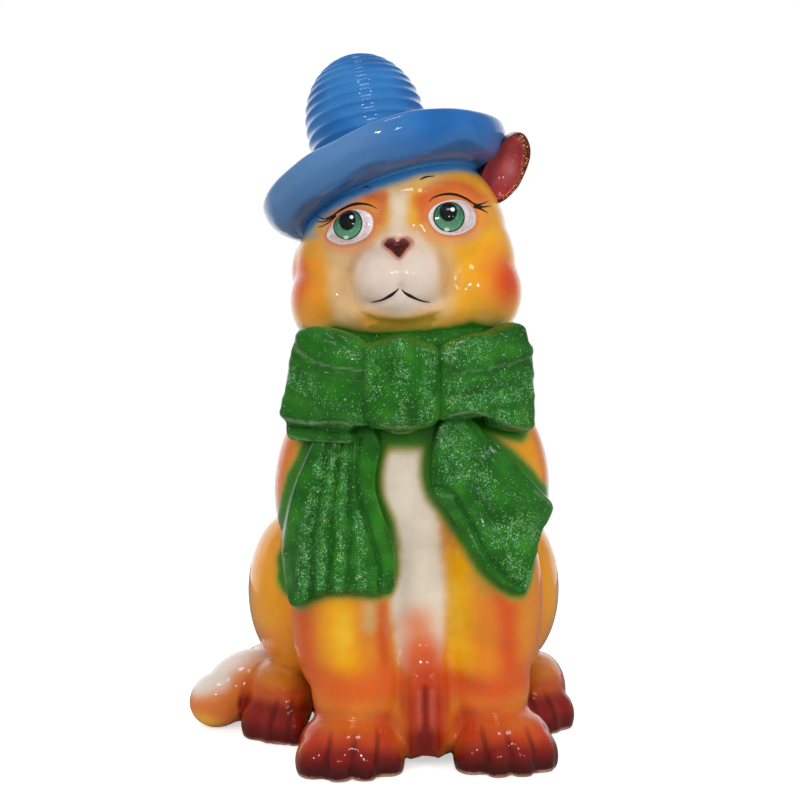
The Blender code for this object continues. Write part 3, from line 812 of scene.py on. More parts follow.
def paintBody():
    brush = Airbrush(catBody, "e08a22")
    points = brush.points
    x, y, z = points.T
    front = softStep(-brush.normals[:, 1] * 1.5 + 0.3)
    brush.puff("c8601e", (-62, -8, 160), (24, 60, 60), 0.55)
    brush.puff("c8601e", (60, -8, 160), (24, 60, 60), 0.55)
    # Painted shade: darker towards the back and the bottom.
    brush.lay("d9691f", 0.5 * softStep((y - 20) / 50) * softStep((150 - z) / 90))
    # arms and forelegs
    for side in (-1, 1):
        arm = ((68 * side, -26, 168), (66 * side, -34, 110), (60 * side, -36, 50))
        brush.pull("e26812", arm, 27, 0.85, 1.0)
    brush.dab("f0a414", ((-56, 184), (-64, 156)), 10, 0.9, 0.9)
    brush.dab("f0a414", ((52, 182), (62, 156)), 11, 0.9, 0.9)
    legFronts = (-200, -36)
    for coat in (
        ("e8801a", ((-42, 104), (-43, 70), (-42, 46)), 24, 0.9, 0.9),
        ("e8801a", ((24, 112), (24, 78), (22, 50)), 22, 0.9, 0.9),
        ("f8b008", ((-45, 98), (-43, 70), (-42, 60)), 15, 1.0, 0.9),
        ("f8b008", ((20, 112), (20, 78), (19, 56)), 14, 1.0, 0.9),
        ("fac428", ((-42, 84), (-42, 70)), 7, 0.7, 1.0),
        ("fac428", ((20, 96), (20, 66)), 7, 0.7, 1.0),
        ("d8b878", ((-26, 96), (-27, 80)), 9, 0.7, 0.9),
        ("c8a040", ((28, 104), (34, 96)), 7, 0.5, 0.9),
        ("d8501c", ((-20, 90), (-20, 50)), 8, 0.85, 1.0),
        ("d8501c", ((-64, 98), (-61, 50)), 9, 0.8, 1.0),
        ("de5418", ((44, 98), (48, 54)), 13, 0.95, 1.0),
        ("e0601a", ((-58, 46), (-40, 44), (-20, 46)), 19, 0.95, 1.0),
        ("da5418", ((12, 45), (33, 42), (54, 45)), 15, 0.95, 1.0),
        ("ec9428", ((-35, 29), (-28, 28)), 11, 0.9, 1.0),
        ("e67420", ((26, 31), (38, 30)), 11, 0.85, 1.0),
    ):
        brush.dab(*coat, legFronts)
    # haunches and tail
    brush.puff("f4a20a", (-80, 10, 90), (44, 66, 58), 1.0, 0.9)
    brush.puff("f4a20a", (79, 10, 90), (44, 66, 58), 1.0, 0.9)
    for side in (-1, 1):
        below = ((84 * side, -16, 54), (90 * side, 14, 46), (80 * side, 44, 44))
        above = ((60 * side, -6, 128), (40 * side, 40, 128), (26 * side, 66, 100))
        brush.pull("c85a1c", below, 17, 0.7, 1.0)
        brush.pull("b03c14", ((63 * side, -30, 68), (65 * side, -26, 40)), 13, 0.8, 1.0)
        brush.pull("c4581c", above, 12, 0.45, 1.0)
    # back: painted shade, redder in the hollows, along the foot and under the neck, with a lighter
    # strip down the spine
    brush.pull("f0a840", ((0, 60, 206), (0, 62, 170), (0, 84, 110), (0, 90, 60)), 26, 0.55, 1.0)
    brush.pull("c4561c", ((-50, 66, 18), (0, 86, 12), (50, 66, 18)), 22, 0.7, 1.0)
    brush.pull("d06c20", ((-46, 30, 196), (-34, 48, 186), (34, 48, 186), (46, 30, 196)), 15, 0.5, 1.0)
    # chest
    cream = (((-9, -62, 178), 13), ((-8, -62, 150), 15), ((-4, -60, 120), 17),
             ((-1, -56, 90), 16), ((0, -54, 64), 13))
    chest = np.zeros(len(points))
    for (a, ra), (b, rb) in zip(cream[:-1], cream[1:]):
        for t in np.linspace(0, 1, 5):
            at = np.array(a) * (1 - t) + np.array(b) * t
            away = np.linalg.norm((points - at) * np.array((1, 0.55, 0.9)), axis=1)
            reach = ra * (1 - t) + rb * t + 7 + brush.wander * 0.4
            chest = np.maximum(chest, softStep((reach - away) / 15))
    brush.lay("e8b868", chest * 0.9 * front)
    brush.lay("eedfca", softStep(chest * 1.6 - 0.35) * front)
    between = (-90, -20)
    brush.dab("ea8850", ((-2, 76), (1, 62)), 17, 0.9, 1.0, between)
    brush.dab("dc5c24", ((1, 58), (2, 48)), 20, 0.95, 0.9, between)
    brush.dab("c84418", ((2, 42), (2, 20)), 22, 0.95, 0.7, between)
    brush.dab("b02c10", ((2, 34), (2, 16)), 15, 0.9, 0.8, between)
    # Pale lines beside the ridges between the forelegs are painted highlight, and the dark line in
    # the groove between them is painted shade.
    brush.dab("c86450", ((-2, 42), (-2, 22)), 2.4, 0.7, 1.0, (-90, -50))
    brush.dab("c86450", ((5, 42), (5, 22)), 2.4, 0.7, 1.0, (-90, -50))
    brush.dab("7c1408", ((1.5, 44), (1.5, 16)), 2.4, 0.8, 1.0, (-90, -40))
    brush.dab("7c1208", ((1, 15), (1, 4)), 15, 0.95, 0.8, between)
    # paws
    for low, high in ((-66, -14), (18, 72)):
        middle = (low + high) / 2
        brush.dab("c44418", ((low + 8, 24), (high - 8, 24)), 14, 0.7, 0.8, (-200, -30))
        brush.dab("c84a22", ((low + 4, 16), (low + 6, 26)), 9, 0.8, 0.8, (-200, -20))
        brush.dab("c84a22", ((high - 4, 16), (high - 6, 26)), 9, 0.8, 0.8, (-200, -20))
        brush.dab("c03414", ((low + 8, 18), (high - 8, 18)), 9, 0.75, 0.8, (-200, -44))
        brush.dab("84140a", ((low + 6, 6), (middle, 9), (high - 6, 6)), 14, 1.0, 0.6, (-200, -46))
        brush.dab("460603", ((low + 4, 1), (high - 4, 1)), 13, 0.95, 0.7, (-200, -40))
    for low, high in ((-94, -58), (58, 94)):
        middle = (low + high) / 2
        brush.dab("d07a24", ((low + 6, 36), (high - 6, 36)), 9, 0.7, 0.9, (-40, 60))
        brush.dab("c04a1c", ((low + 4, 22), (high - 4, 22)), 12, 0.9, 0.7, (-60, 40))
        brush.dab("8c1a0e", ((low + 4, 11), (high - 4, 11)), 14, 1.0, 0.5, (-60, 40))
        brush.dab("5c0804", ((low, 2), (high, 2)), 12, 0.9, 0.7, (-60, 40))
    # tail: pale on top, orange below, yellow at the tip
    paw = np.linalg.norm((points - np.array((-74, 12, 14))) / np.array((21, 32, 24)), axis=1)
    off = distanceTo(points, ((-66, 52, 24), (-92, 32, 19), (-112, 20, 14), (-122, 16, 11)))
    tail = softStep((26 - off) / 6) * softStep((paw - 1.05) / 0.12) * softStep((-74 - x) / 8)
    up = brush.normals[:, 2] + (-98 - x) * 0.012 + brush.wander * 0.03
    brush.lay("e27c36", tail)
    brush.lay("cc5226", tail * softStep((-84 - x) / -8 + 0.2) * softStep(0.5 - up) * 0.7)
    brush.lay("e8a878", tail * softStep(up * 2.2 - 0.6) * 0.8)
    brush.lay("ece0d4", tail * softStep(up * 2.2 - 1.05))
    tip = np.linalg.norm((points - np.array((-120, 10, 4))) / np.array((18, 22, 9)), axis=1)
    brush.lay("f0b43c", 0.9 * softStep((1.1 - tip) / 0.8))
    # Dark lines in the toe grooves are painted shade.
    for line, *_ in toeGrooves:
        away = frontDistance(points, line)
        brush.lay("4a0704", 0.6 * softStep(1.3 - away / 1.6) * front * softStep((26 - z) / 8))
    # overspray round the scarf, and the bare edge underneath
    brush.dab("a8983a", ((-24, 186), (6, 186)), 17, 0.85, 0.3, (-200, -20))
    away = scarfDistance(points, 9.0) + brush.wander * 0.5
    brush.lay("a8983a", 0.85 * softStep((8.0 - away) / 4.0))
    brush.lay("357a16", softStep((5.5 - away) / 3.2))
    brush.dab("357a16", ((-24, 186), (6, 186)), 14, 1.0, 0.35, (-200, -20))
    brush.lay("d8a890", 0.8 * softStep((1.6 + brush.wander * 0.4 - z) / 1.0))
    brush.store()


paintBody()
catPaint = airbrushedPaint("catPaint")
finishPiece(catBody, catPaint, "orange_glaze", "torso_shell", "foreleg_right", "foreleg_left",
            "haunch_right", "haunch_left", "hind_paw_right", "hind_paw_left", "tail")

# The head is made in its own turned frame.
print("head")
headValues = {"voxel": 1.1, "smooth": 34, "neckLevel": 229, "hatLevel": -18.9}
headMasses = (
    ("ball", (1, 1, 16), (56, 53, 54)),
    ("ball", (-1, 2, 3), (61.5, 46, 40)),
    ("ball", (-36, -8, -14), (27, 36, 28)),
    ("ball", (36, -8, -14), (27, 36, 28)),
    ("ball", (-38, -4, 1), (21.5, 31, 33)),
    ("ball", (38, -4, 1), (22.5, 31, 33)),
    ("ball", (0, -16, -22), (46, 42, 22)),
    ("ball", (0, -40, -5), (27, 27, 25)),
    ("ball", (-25, -31, 24), (15, 17, 12)),
    ("ball", (27, -31, 24), (15, 17, 12)),
    ("ball", (0, -62, 10), (8, 7, 6)),
    ("ball", (0, -44, 20), (10, 10, 20), (-12, 0, 0)),
)
face = {
    "eyeRight": {
        "outline": ((-38.3, 20.5), (-35.8, 23.8), (-32.3, 27.6), (-28.9, 30.8), (-25.0, 32.2),
                    (-20.4, 32.4), (-15.8, 31.0), (-12.8, 28.3), (-11.8, 24.6), (-12.7, 20.5),
                    (-15.3, 17.3), (-19.4, 15.2), (-24.8, 14.1), (-30.2, 14.3), (-34.9, 16.1),
                    (-37.6, 18.2)),
        "iris": (-25.2, 24.5, 7.9), "pupil": (-25.4, 26.6, 4.3, 5.0), "glint": (-23.3, 27.7, 0.95),
    },
    "eyeLeft": {
        "outline": ((16.6, 25.8), (18.4, 29.2), (21.7, 31.7), (25.5, 33.2), (29.9, 33.9),
                    (34.9, 33.3), (38.5, 30.9), (40.8, 27.6), (41.5, 23.7), (40.3, 19.5),
                    (36.6, 16.7), (32.5, 15.1), (27.5, 14.8), (22.5, 15.9), (19.0, 18.9),
                    (17.2, 22.3)),
        "iris": (27.2, 24.5, 7.9), "pupil": (27.1, 26.8, 4.4, 4.6), "glint": (29.5, 27.6, 1.0),
    },
    "muzzle": ((-8, 19), (-17, 12), (-24, 1), (-25, -11), (-19, -20), (-1, -25), (17, -23),
               (21, -17), (22, -6), (21, 5), (14, 15), (5, 20)),
    "chinStain": ((-22, -21.5), (-16, -24), (-10, -25.5), (-1, -26.5), (8, -26), (14, -24.5),
                  (21, -24.5), (17, -27), (18, -29), (15, -31), (13, -36), (0, -37), (-9, -36),
                  (-12, -33), (-18, -30), (-13, -27.5)),
    "nose": ((1.1, 12.0), (-0.8, 13.6), (-3.1, 14.3), (-5.6, 14.0), (-7.0, 12.4), (-5.4, 10.2),
             (-2.7, 8.0), (-0.8, 5.8), (1.1, 4.2), (2.9, 5.5), (4.7, 7.7), (6.6, 9.7),
             (7.7, 12.2), (5.4, 14.2), (3.2, 13.6)),
    "eyePatch": {"rings": 14, "lift": 0.12, "dome": 1.5},
    "nosePatch": {"rings": 6, "lift": 0.15, "dome": 0.5},
    "patchDepth": 0.9, "strokeDepth": 0.3,
}
# lines of the brush in X and Z, with the width at the start, near the middle and at the end
browsAndLashes = (
    (((17.6, 33.1), (20.6, 35.5), (26.3, 36.9), (31.9, 36.4), (36.7, 34.3), (39.7, 32.2),
      (43.4, 29.9)), (0.3, 1.5, 0.8)),
    (((40.5, 30.8), (43.6, 31.0), (48.4, 33.2)), (1.7, 1.2, 0.25)),
    (((40.5, 30.6), (44.8, 29.8), (49.6, 30.6)), (1.8, 1.3, 0.25)),
    (((40.5, 30.2), (44.2, 28.6), (47.6, 26.6)), (1.6, 1.2, 0.3)),
    (((-9.6, 31.3), (-13.1, 33.6), (-18.3, 35.0), (-23.0, 34.9), (-27.6, 33.5), (-31.7, 31.3),
      (-35.0, 28.7)), (0.3, 1.6, 1.0)),
    (((-32.6, 30.2), (-38.4, 29.2), (-43.8, 31.6)), (1.3, 1.0, 0.25)),
    (((-32.6, 29.8), (-38.6, 27.8), (-44.5, 29.0)), (1.3, 1.0, 0.25)),
    (((-31.8, 29.9), (-37.2, 26.2), (-43.2, 25.4)), (1.2, 0.9, 0.25)),
    (((13.5, 45.4), (16.7, 46.8), (21.2, 47.2)), (0.5, 1.1, 0.4)),
    (((-16.4, 43.6), (-14.7, 43.9), (-12.3, 43.0)), (0.3, 0.7, 0.3)),
    (((-0.2, -11.7), (-2.8, -13.8), (-5.8, -15.4), (-9.9, -16.9), (-15.6, -17.5)), (0.5, 1.7, 0.3)),
    (((1.2, -12.2), (3.0, -14.3), (6.0, -16.3), (10.6, -18.6), (15.2, -19.7)), (0.5, 1.7, 0.3)),
)


def makeHead():
    head = clay("catHead", headMasses, headFrame,
                voxel=headValues["voxel"], smooth=headValues["smooth"])
    cut(head, block((-150, -150, headValues["hatLevel"]), (150, 150, 150), rimFrame))
    cut(head, block((-300, -300, -200), (300, 300, headValues["neckLevel"])))
    eyeRight = face["eyeRight"]["outline"]
    eyeLeft = face["eyeLeft"]["outline"]
    carve(head, (
        (eyeRight + eyeRight[:1], 1.9, 0.9),
        (eyeLeft + eyeLeft[:1], 1.9, 0.9),
        (((-12, 37), (-18, 39), (-28, 37.5), (-37, 32)), 2.4, -1.1),
        (((17, 38), (24, 41), (35, 39.5), (43, 34)), 2.4, -1.1),
        (((-13, 9), (-21, 3), (-25.5, -8), (-24, -18)), 3.6, 0.8),
        (((14, 9), (22, 3), (26.5, -8), (25, -18)), 3.6, 0.8),
        (((0.8, 2), (0.6, -10)), 1.6, 0.7),
        (((0.6, -11.5), (-4, -16), (-12, -18.5), (-17, -18)), 1.9, 0.9),
        (((0.6, -11.5), (5, -16.6), (12, -20), (17, -20.4)), 1.9, 0.9),
        (((-9, -6), (-12, -10)), 7.0, -1.2),
        (((10, -6), (13, -11)), 7.0, -1.2),
        (((0, -21), (1, -23)), 6.0, -1.0),
        (((-18, -27), (0, -30), (18, -29)), 3.0, 1.2),
        (((-10, 12), (-9, 16)), 3.0, 0.7),
        (((11, 12), (10, 16)), 3.0, 0.7),
    ), headFrame)
    return head


# The hat's values stand here because its overspray falls on the head.
hat = {
    "rimRadius": 69.5, "creaseRadius": 50, "brimDepth": 19, "holeRadius": 24, "thickness": 6,
    "crownRadius": 32.4, "crownHeight": 68.6, "dome": 40, "rings": 14.5, "ringRise": 0.75,
    "sink": 31, "cornerAngle": 0.25,
}


def paintHead():
    brush = Airbrush(catHead, "eeaa34", headFrame)
    points = brush.points
    front = softStep(-brush.normals[:, 1] * 1.6 + 0.35)
    brush.puff("e58a2a", (0, 50, 10), (70, 62, 70), 0.9)
    brush.dab("f8b01e", ((36, 44), (44, 20), (36, -8), (30, -14)), 20, 0.9, 0.9)
    brush.dab("f2c070", ((-20, 46), (6, 47), (24, 44)), 9, 0.8, 0.9)
    brush.dab("ecc48e", ((-30, 12), (-33, -4), (-30, -22)), 15, 0.9, 0.9)
    brush.dab("f2a020", ((-46, 2), (-44, -20)), 10, 0.9, 0.9)
    brush.dab("ecc884", ((-42, -34), (-20, -38), (24, -40), (44, -36)), 12, 0.85, 0.9)
    brush.dab("e4b878", ((24, 8), (26, -8), (22, -24)), 9, 0.8, 0.9)
    # muzzle and bridge of the nose
    brush.shape("eacfb8", face["muzzle"], 1.0, 5.0)
    brush.dab("eedbcc", ((-8, -2), (0, -16), (9, -3)), 15, 0.9, 0.8)
    brush.dab("ecd8be", ((1, 22), (2, 30), (2, 42)), 8, 0.95, 0.9)
    brush.dab("e8ae58", ((2, 46), (4, 52)), 11, 0.85, 0.9)
    # Brownish lines along the creases beside the muzzle are painted shade.
    brush.dab("bd9670", ((-11, 20), (-20, 12), (-26, 1)), 4, 0.5, 0.9)
    brush.dab("c89c6c", ((14, 19), (22, 8), (24, -6), (22, -16)), 4, 0.45, 0.9)
    # shadow colours round the eyes
    for outline in (face["eyeRight"]["outline"], face["eyeLeft"]["outline"]):
        away = outlineDistance(points, outline) + brush.wander * 0.4
        brush.lay("e89a58", 0.6 * softStep((8 - away) / 6) * front)
    brush.dab("da5620", ((-38, 35), (-30, 38), (-18, 41), (-9, 37)), 7.5, 0.9, 1.0)
    brush.dab("dc7440", ((-7, 38), (-7, 31), (-9, 25)), 5, 0.8, 0.9)
    brush.dab("de6228", ((15, 33), (20, 37), (28, 41), (37, 40), (44, 34)), 8.5, 0.9, 1.0)
    brush.dab("dc6a34", ((14, 34), (14, 25)), 6, 0.8, 1.0)
    brush.dab("ee9430", ((46, 30), (45, 21)), 7, 0.6, 0.9)
    brush.dab("dfa47a", ((-38, 16), (-28, 11), (-15, 12)), 4.5, 0.55, 0.9)
    brush.dab("dda066", ((17, 15), (28, 11), (41, 16)), 4.5, 0.5, 0.9)
    brush.puff("8e9a98", (-47, -24, 22), (9, 18, 5), 0.75)
    for outline in (face["eyeRight"]["outline"], face["eyeLeft"]["outline"]):
        away = outlineDistance(points, outline)
        brush.lay("e0704a", 0.6 * softStep((2.2 - away) / 1.5) * front)
    # blush
    brush.puff("f08a1c", (-52, -26, -4), (20, 40, 30), 0.8, 0.9)
    brush.puff("e2500c", (-57, -26, -2), (13, 32, 22), 0.95, 0.9)
    brush.puff("f07c1c", (52, -32, -9), (19, 34, 27), 0.9, 0.9)
    brush.puff("de440e", (57, -30, -10), (13, 28, 19), 0.95, 0.9)
    # halo round the nose, and the stain under the chin
    away = outlineDistance(points, face["nose"])
    brush.lay("c8503c", 0.75 * softStep((2.2 - away) / 1.6) * front)
    brush.shape("b08e2c", face["chinStain"], 0.85, 0.9, 0.5)
    brush.dab("8f8c30", ((-8, -33), (8, -34)), 4, 0.5, 0.9)
    # overspray of the hat and of the scarf
    figure = pointsOf(catHead)
    rim = np.array(rimFrame.inverted())
    height = (figure @ rim[:3, :3].T + rim[:3, 3])[:, 2] + hat["brimDepth"] + brush.wander * 0.5
    brush.lay("6b97a8", 0.75 * softStep((height + 8.5) / 4.5))
    brush.lay("3f7fb8", softStep((height + 5.5) / 3.0))
    away = scarfDistance(figure, 9.0) + brush.wander * 0.6
    brush.lay("b0a03c", 0.8 * softStep((6.0 - away) / 4.0))
    brush.lay("3a8420", softStep((2.8 - away) / 2.0))
    brush.store()


catHead = makeHead()
paintHead()
finishPiece(catHead, airbrushedPaint("headPaint", 0.12), "orange_glaze", "head_shell")

headPoints = [Vector(p) for p in pointsOf(catHead, headFrame)]
headTree = BVHTree.FromPolygons(headPoints, [list(f.vertices) for f in catHead.data.polygons])


def onHead(x, z, lift):
    hit = headTree.ray_cast(Vector((x, -150, z)), Vector((0, 1, 0)))
    if hit[0] is None:
        return Vector((x, -40, z))
    return hit[0] + hit[1] * lift


# Eyes, nose and brush strokes are thin shells laid on the head.
def meshPiece(name, points, faces):
    data = bpy.data.meshes.new(name)
    matrix = figureFrame @ headFrame
    data.from_pydata([matrix @ Vector(p) for p in points], [], faces)
    piece = bpy.data.objects.new(name, data)
    bpy.context.scene.collection.objects.link(piece)
    return piece


def closedShell(piece, thickness):
    alone(piece)
    bpy.ops.object.mode_set(mode="EDIT")
    bpy.ops.mesh.select_all(action="SELECT")
    bpy.ops.mesh.remove_doubles(threshold=0.00002)
    bpy.ops.mesh.normals_make_consistent(inside=False)
    bpy.ops.object.mode_set(mode="OBJECT")
    normals = normalsOf(piece, headFrame)
    if normals[:, 1].mean() > 0:
        piece.data.flip_normals()
    applied(piece, "SOLIDIFY", thickness=thickness * mm, offset=-1)


def patchOnHead(name, outline, patch, mapCentre):
    rings = patch["rings"]
    ring = smoothed(outline, 5, closed=True)
    centre = ring.mean(axis=0)
    points = []
    values = []
    for k in range(rings + 1):
        part = k / rings
        for x, z in (centre + (ring - centre) * part if k else [centre]):
            points.append(onHead(x, z, patch["lift"] + patch["dome"] * (1 - part ** 2.0)))
            values.append((x - mapCentre[0], z - mapCentre[1], part))
    count = len(ring)
    faces = [(0, 1 + (i + 1) % count, 1 + i) for i in range(count)]
    for k in range(rings - 1):
        a = 1 + k * count
        b = a + count
        for i in range(count):
            j = (i + 1) % count
            faces.append((a + i, a + j, b + j, b + i))
    piece = meshPiece(name, points, faces)
    layer = piece.data.attributes.new("spotMap", "FLOAT_VECTOR", "POINT")
    layer.data.foreach_set("vector", np.array(values, np.float32).ravel())
    closedShell(piece, face["patchDepth"])
    return piece


def eyePaint(name, eye):
    bench = NodeBench(bpy.data.materials.new(name))
    where = bench.where()
    parts = bench.add("SeparateXYZ", {0: bench.attribute("spotMap", "Vector")})
    x, z, rim = parts.outputs
    irisX, irisZ, radius = eye["iris"]
    px, pz, prx, prz = eye["pupil"]
    gx, gz, gr = eye["glint"]

    def roundSpot(cx, cz, rx, rz):
        dx = bench.math("DIVIDE", bench.math("SUBTRACT", x, cx - irisX), rx)
        dz = bench.math("DIVIDE", bench.math("SUBTRACT", z, cz - irisZ), rz)
        squares = [bench.math("MULTIPLY", d, d) for d in (dx, dz)]
        return bench.math("SQRT", bench.math("ADD", *squares))

    away = roundSpot(irisX, irisZ, radius, radius * 0.97)
    veins = bench.noise(where, 420.0, 3.0)
    inner = bench.mix(bench.span(veins, 0.4, 0.7), tint("ece2e4"), tint("dcb8bc"))
    sclera = bench.mix(bench.span(rim, 0.80, 0.92), inner, tint("f4efee"))
    sclera = bench.mix(bench.span(rim, 0.955, 1.0), sclera, tint("e0a898"))
    level = bench.span(z, -radius, radius * 0.4)
    green = bench.mix(level, tint("63a482"), tint("2c6b4a"))
    streaks = bench.noise(where, 900.0, 2.0)
    green = bench.mix(bench.span(streaks, 0.5, 0.75, 0.0, 0.45), green, tint("9cc8a4"))
    made = bench.mix(bench.span(away, 1.02, 0.98), sclera, tint("14201a"))
    made = bench.mix(bench.span(away, 0.94, 0.89), made, green)
    made = bench.mix(bench.span(roundSpot(px, pz, prx, prz), 1.05, 0.95), made, tint("0a0c0a"))
    # A small pale spot at the bottom of the iris is a painted reflection.
    low = roundSpot(irisX - 1.4, irisZ - radius * 0.8, 1.5, 1.0)
    made = bench.mix(bench.span(low, 1.2, 0.6), made, tint("dff0e4"))
    made = bench.mix(bench.span(roundSpot(gx, gz, gr, gr), 1.08, 0.92), made, tint("ffffff"))
    bench.plug("Base Color", made)
    bench.lacquer(where, 0.08, 0.02)
    return bench.owner


print("face")
for name in ("eyeRight", "eyeLeft"):
    eye = face[name]
    piece = patchOnHead(name, eye["outline"], face["eyePatch"], eye["iris"][:2])
    finishPiece(piece, eyePaint(name + "Paint", eye), "orange_glaze")

nosePatch = patchOnHead("nosePatch", face["nose"], face["nosePatch"], (0.5, 9.5))


def nosePaint():
    bench = NodeBench(bpy.data.materials.new("nosePaint"))
    where = bench.where()
    parts = bench.add("SeparateXYZ", {0: bench.attribute("spotMap", "Vector")})
    rub = bench.noise(where, 500.0, 3.0)
    dark = bench.mix(bench.span(rub, 0.35, 0.7), tint("420c0a"), tint("661c16"))
    # Lighter towards the top of the nose: painted highlight.
    top = bench.span(parts.outputs[1], 1.0, 4.0, 0.0, 0.75)
    made = bench.mix(top, dark, tint("7a4238"))
    made = bench.mix(bench.span(parts.outputs[2], 0.9, 1.0, 0.0, 0.6), made, tint("9c2c24"))
    bench.plug("Base Color", made)
    bench.lacquer(where, 0.2)
    return bench.owner


finishPiece(nosePatch, nosePaint(), "maroon_glaze")


def brushStrokes():
    points = []
    faces = []
    for line, widths in browsAndLashes:
        path = smoothed(line, 7)
        part = np.linspace(0, 1, len(path))
        width = np.interp(part, (0, 0.42, 1), widths)
        step = np.gradient(path, axis=0)
        side = np.stack([-step[:, 1], step[:, 0]], axis=1)
        side /= np.linalg.norm(side, axis=1)[:, None]
        start = len(points)
        for at, across, wide in zip(path, side, width):
            for share in (-0.5, -0.2, 0.2, 0.5):
                x, z = at + across * wide * share
                points.append(onHead(x, z, 0.20 if abs(share) < 0.3 else 0.10))
        for i in range(len(path) - 1):
            for k in range(3):
                a = start + 4 * i + k
                faces.append((a, a + 1, a + 5, a + 4))
    piece = meshPiece("brushStrokes", points, faces)
    closedShell(piece, face["strokeDepth"])
    return piece


def strokePaint():
    bench = NodeBench(bpy.data.materials.new("strokePaint"))
    where = bench.where()
    rub = bench.noise(where, 800.0, 2.0)
    made = bench.mix(bench.span(rub, 0.3, 0.7), tint("150806"), tint("2e120c"))
    bench.plug("Base Color", made)
    bench.lacquer(where, 0.2)
    return bench.owner


strokes = brushStrokes()
finishPiece(strokes, strokePaint(), "maroon_glaze")

print("hat")

# a ring pulled up and out step by step, as on a wheel
def turnedShape(name, profile, place, segments=160):
    bpy.ops.object.select_all(action="DESELECT")
    bpy.ops.mesh.primitive_circle_add(vertices=segments, radius=profile[0][0], location=(0, 0, 0))
    piece = bpy.context.object
    piece.name = name
    piece.data.transform(Matrix.Translation((0, 0, profile[0][1])))
    bpy.ops.object.mode_set(mode="EDIT")
    bpy.ops.mesh.select_all(action="SELECT")
    for (r0, z0), (r1, z1) in zip(profile[:-1], profile[1:]):
        bpy.ops.mesh.extrude_region_move(TRANSFORM_OT_translate={"value": (0, 0, z1 - z0)})
        bpy.ops.transform.resize(value=(r1 / r0, r1 / r0, 1), center_override=(0, 0, z1))
    if profile[-1] == profile[0]:
        bpy.ops.mesh.select_all(action="SELECT")
        bpy.ops.mesh.remove_doubles(threshold=0.002)
    else:
        bpy.ops.mesh.merge(type="CENTER")
    bpy.ops.mesh.select_all(action="SELECT")
    bpy.ops.mesh.normals_make_consistent(inside=False)
    bpy.ops.object.mode_set(mode="OBJECT")
    piece.data.transform(figureFrame @ place)
    return piece


def brimProfile():
    outer = []
    inner = []
    crease = hat["creaseRadius"]
    depth = hat["brimDepth"]
    thick = hat["thickness"]
    steps = 22
    for step in range(steps + 1):
        angle = math.radians(90 * step / steps)
        radius = crease + (hat["rimRadius"] - crease) * math.sin(angle)
        height = -depth * math.cos(angle)
        outer.append((radius, height))
        inner.append((radius - thick * math.sin(angle), height + thick * math.cos(angle)))
    lip = []
    for step in range(1, 8):
        angle = math.pi * step / 8
        reach = hat["rimRadius"] - thick / 2 + thick / 2 * math.cos(angle)
        lip.append((reach, thick / 2 * math.sin(angle)))
    floor = -depth + thick
    hole = hat["holeRadius"]
    under = [(hole + (crease - hole) * t, -depth) for t in np.linspace(0, 1, 8)[:-1]]
    back = [(crease - (crease - hole) * t, floor) for t in np.linspace(0, 1, 8)[1:]]
    return under + outer + lip + inner[::-1] + back + [under[0]]


def makeBrim():
    brim = turnedShape("hatBrim", brimProfile(), rimFrame)
    points = pointsOf(brim, rimFrame)
    angle = np.arctan2(points[:, 1], points[:, 0])
    radius = np.linalg.norm(points[:, :2], axis=1)
    edge = softStep((radius - 52) / 17)
    points[:, 2] += edge * (0.9 * np.sin(3 * angle + 0.7) + 0.6 * np.sin(5 * angle + 2.0))
    points[:, :2] *= (1 + edge * 0.008 * np.sin(4 * angle + 1.1))[:, None]
    points += (ripple(points, 22.0) * 0.9 * edge)[:, None] * np.array((0, 0, 1))
    corner = np.exp(-((angle - hat["cornerAngle"]) / 0.28) ** 2) * softStep((radius - 56) / 14)
    points[:, :2] *= (1 + 0.035 * corner)[:, None]
    setPoints(brim, points, rimFrame)
    return brim


def makeCrown():
    profile = [(hat["crownRadius"] * 0.9, -hat["sink"]), (hat["crownRadius"] + 0.5, -hat["sink"])]
    rows = int(hat["rings"] * 9)
    for row in range(rows):
        arc = row / rows
        height = hat["crownHeight"] * math.sin(0.5 * math.pi * arc)
        part = max(0.0, (height - hat["crownHeight"] + hat["dome"]) / hat["dome"])
        radius = hat["crownRadius"] * math.sqrt(max(0.0, 1 - part * part))
        wave = hat["ringRise"] * (1.4 - 1.9 * abs(math.sin(math.pi * hat["rings"] * arc)) ** 0.8)
        fade = min(1.0, radius / 8)
        profile.append((radius + wave * fade if radius > 1 else 1, height))
    profile.append((0.6, hat["crownHeight"] + 0.1))
    crown = turnedShape("hatCrown", profile, crownFrame, 144)
    alone(crown)
    bpy.ops.object.mode_set(mode="EDIT")
    bpy.ops.mesh.select_all(action="DESELECT")
    bpy.ops.mesh.select_non_manifold()
    bpy.ops.mesh.fill()
    bpy.ops.mesh.select_all(action="SELECT")
    bpy.ops.mesh.normals_make_consistent(inside=False)
    bpy.ops.object.mode_set(mode="OBJECT")
    dish = hat["thickness"] - hat["brimDepth"] + 0.2
    cut(crown, block((-150, -150, -150), (150, 150, dish), rimFrame))
    points = pointsOf(crown, crownFrame)
    angle = np.arctan2(points[:, 1], points[:, 0])
    points[:, 2] += 0.5 * np.sin(2 * angle + 0.5) * softStep((66 - points[:, 2]) / 20)
    setPoints(crown, points, crownFrame)
    return crown


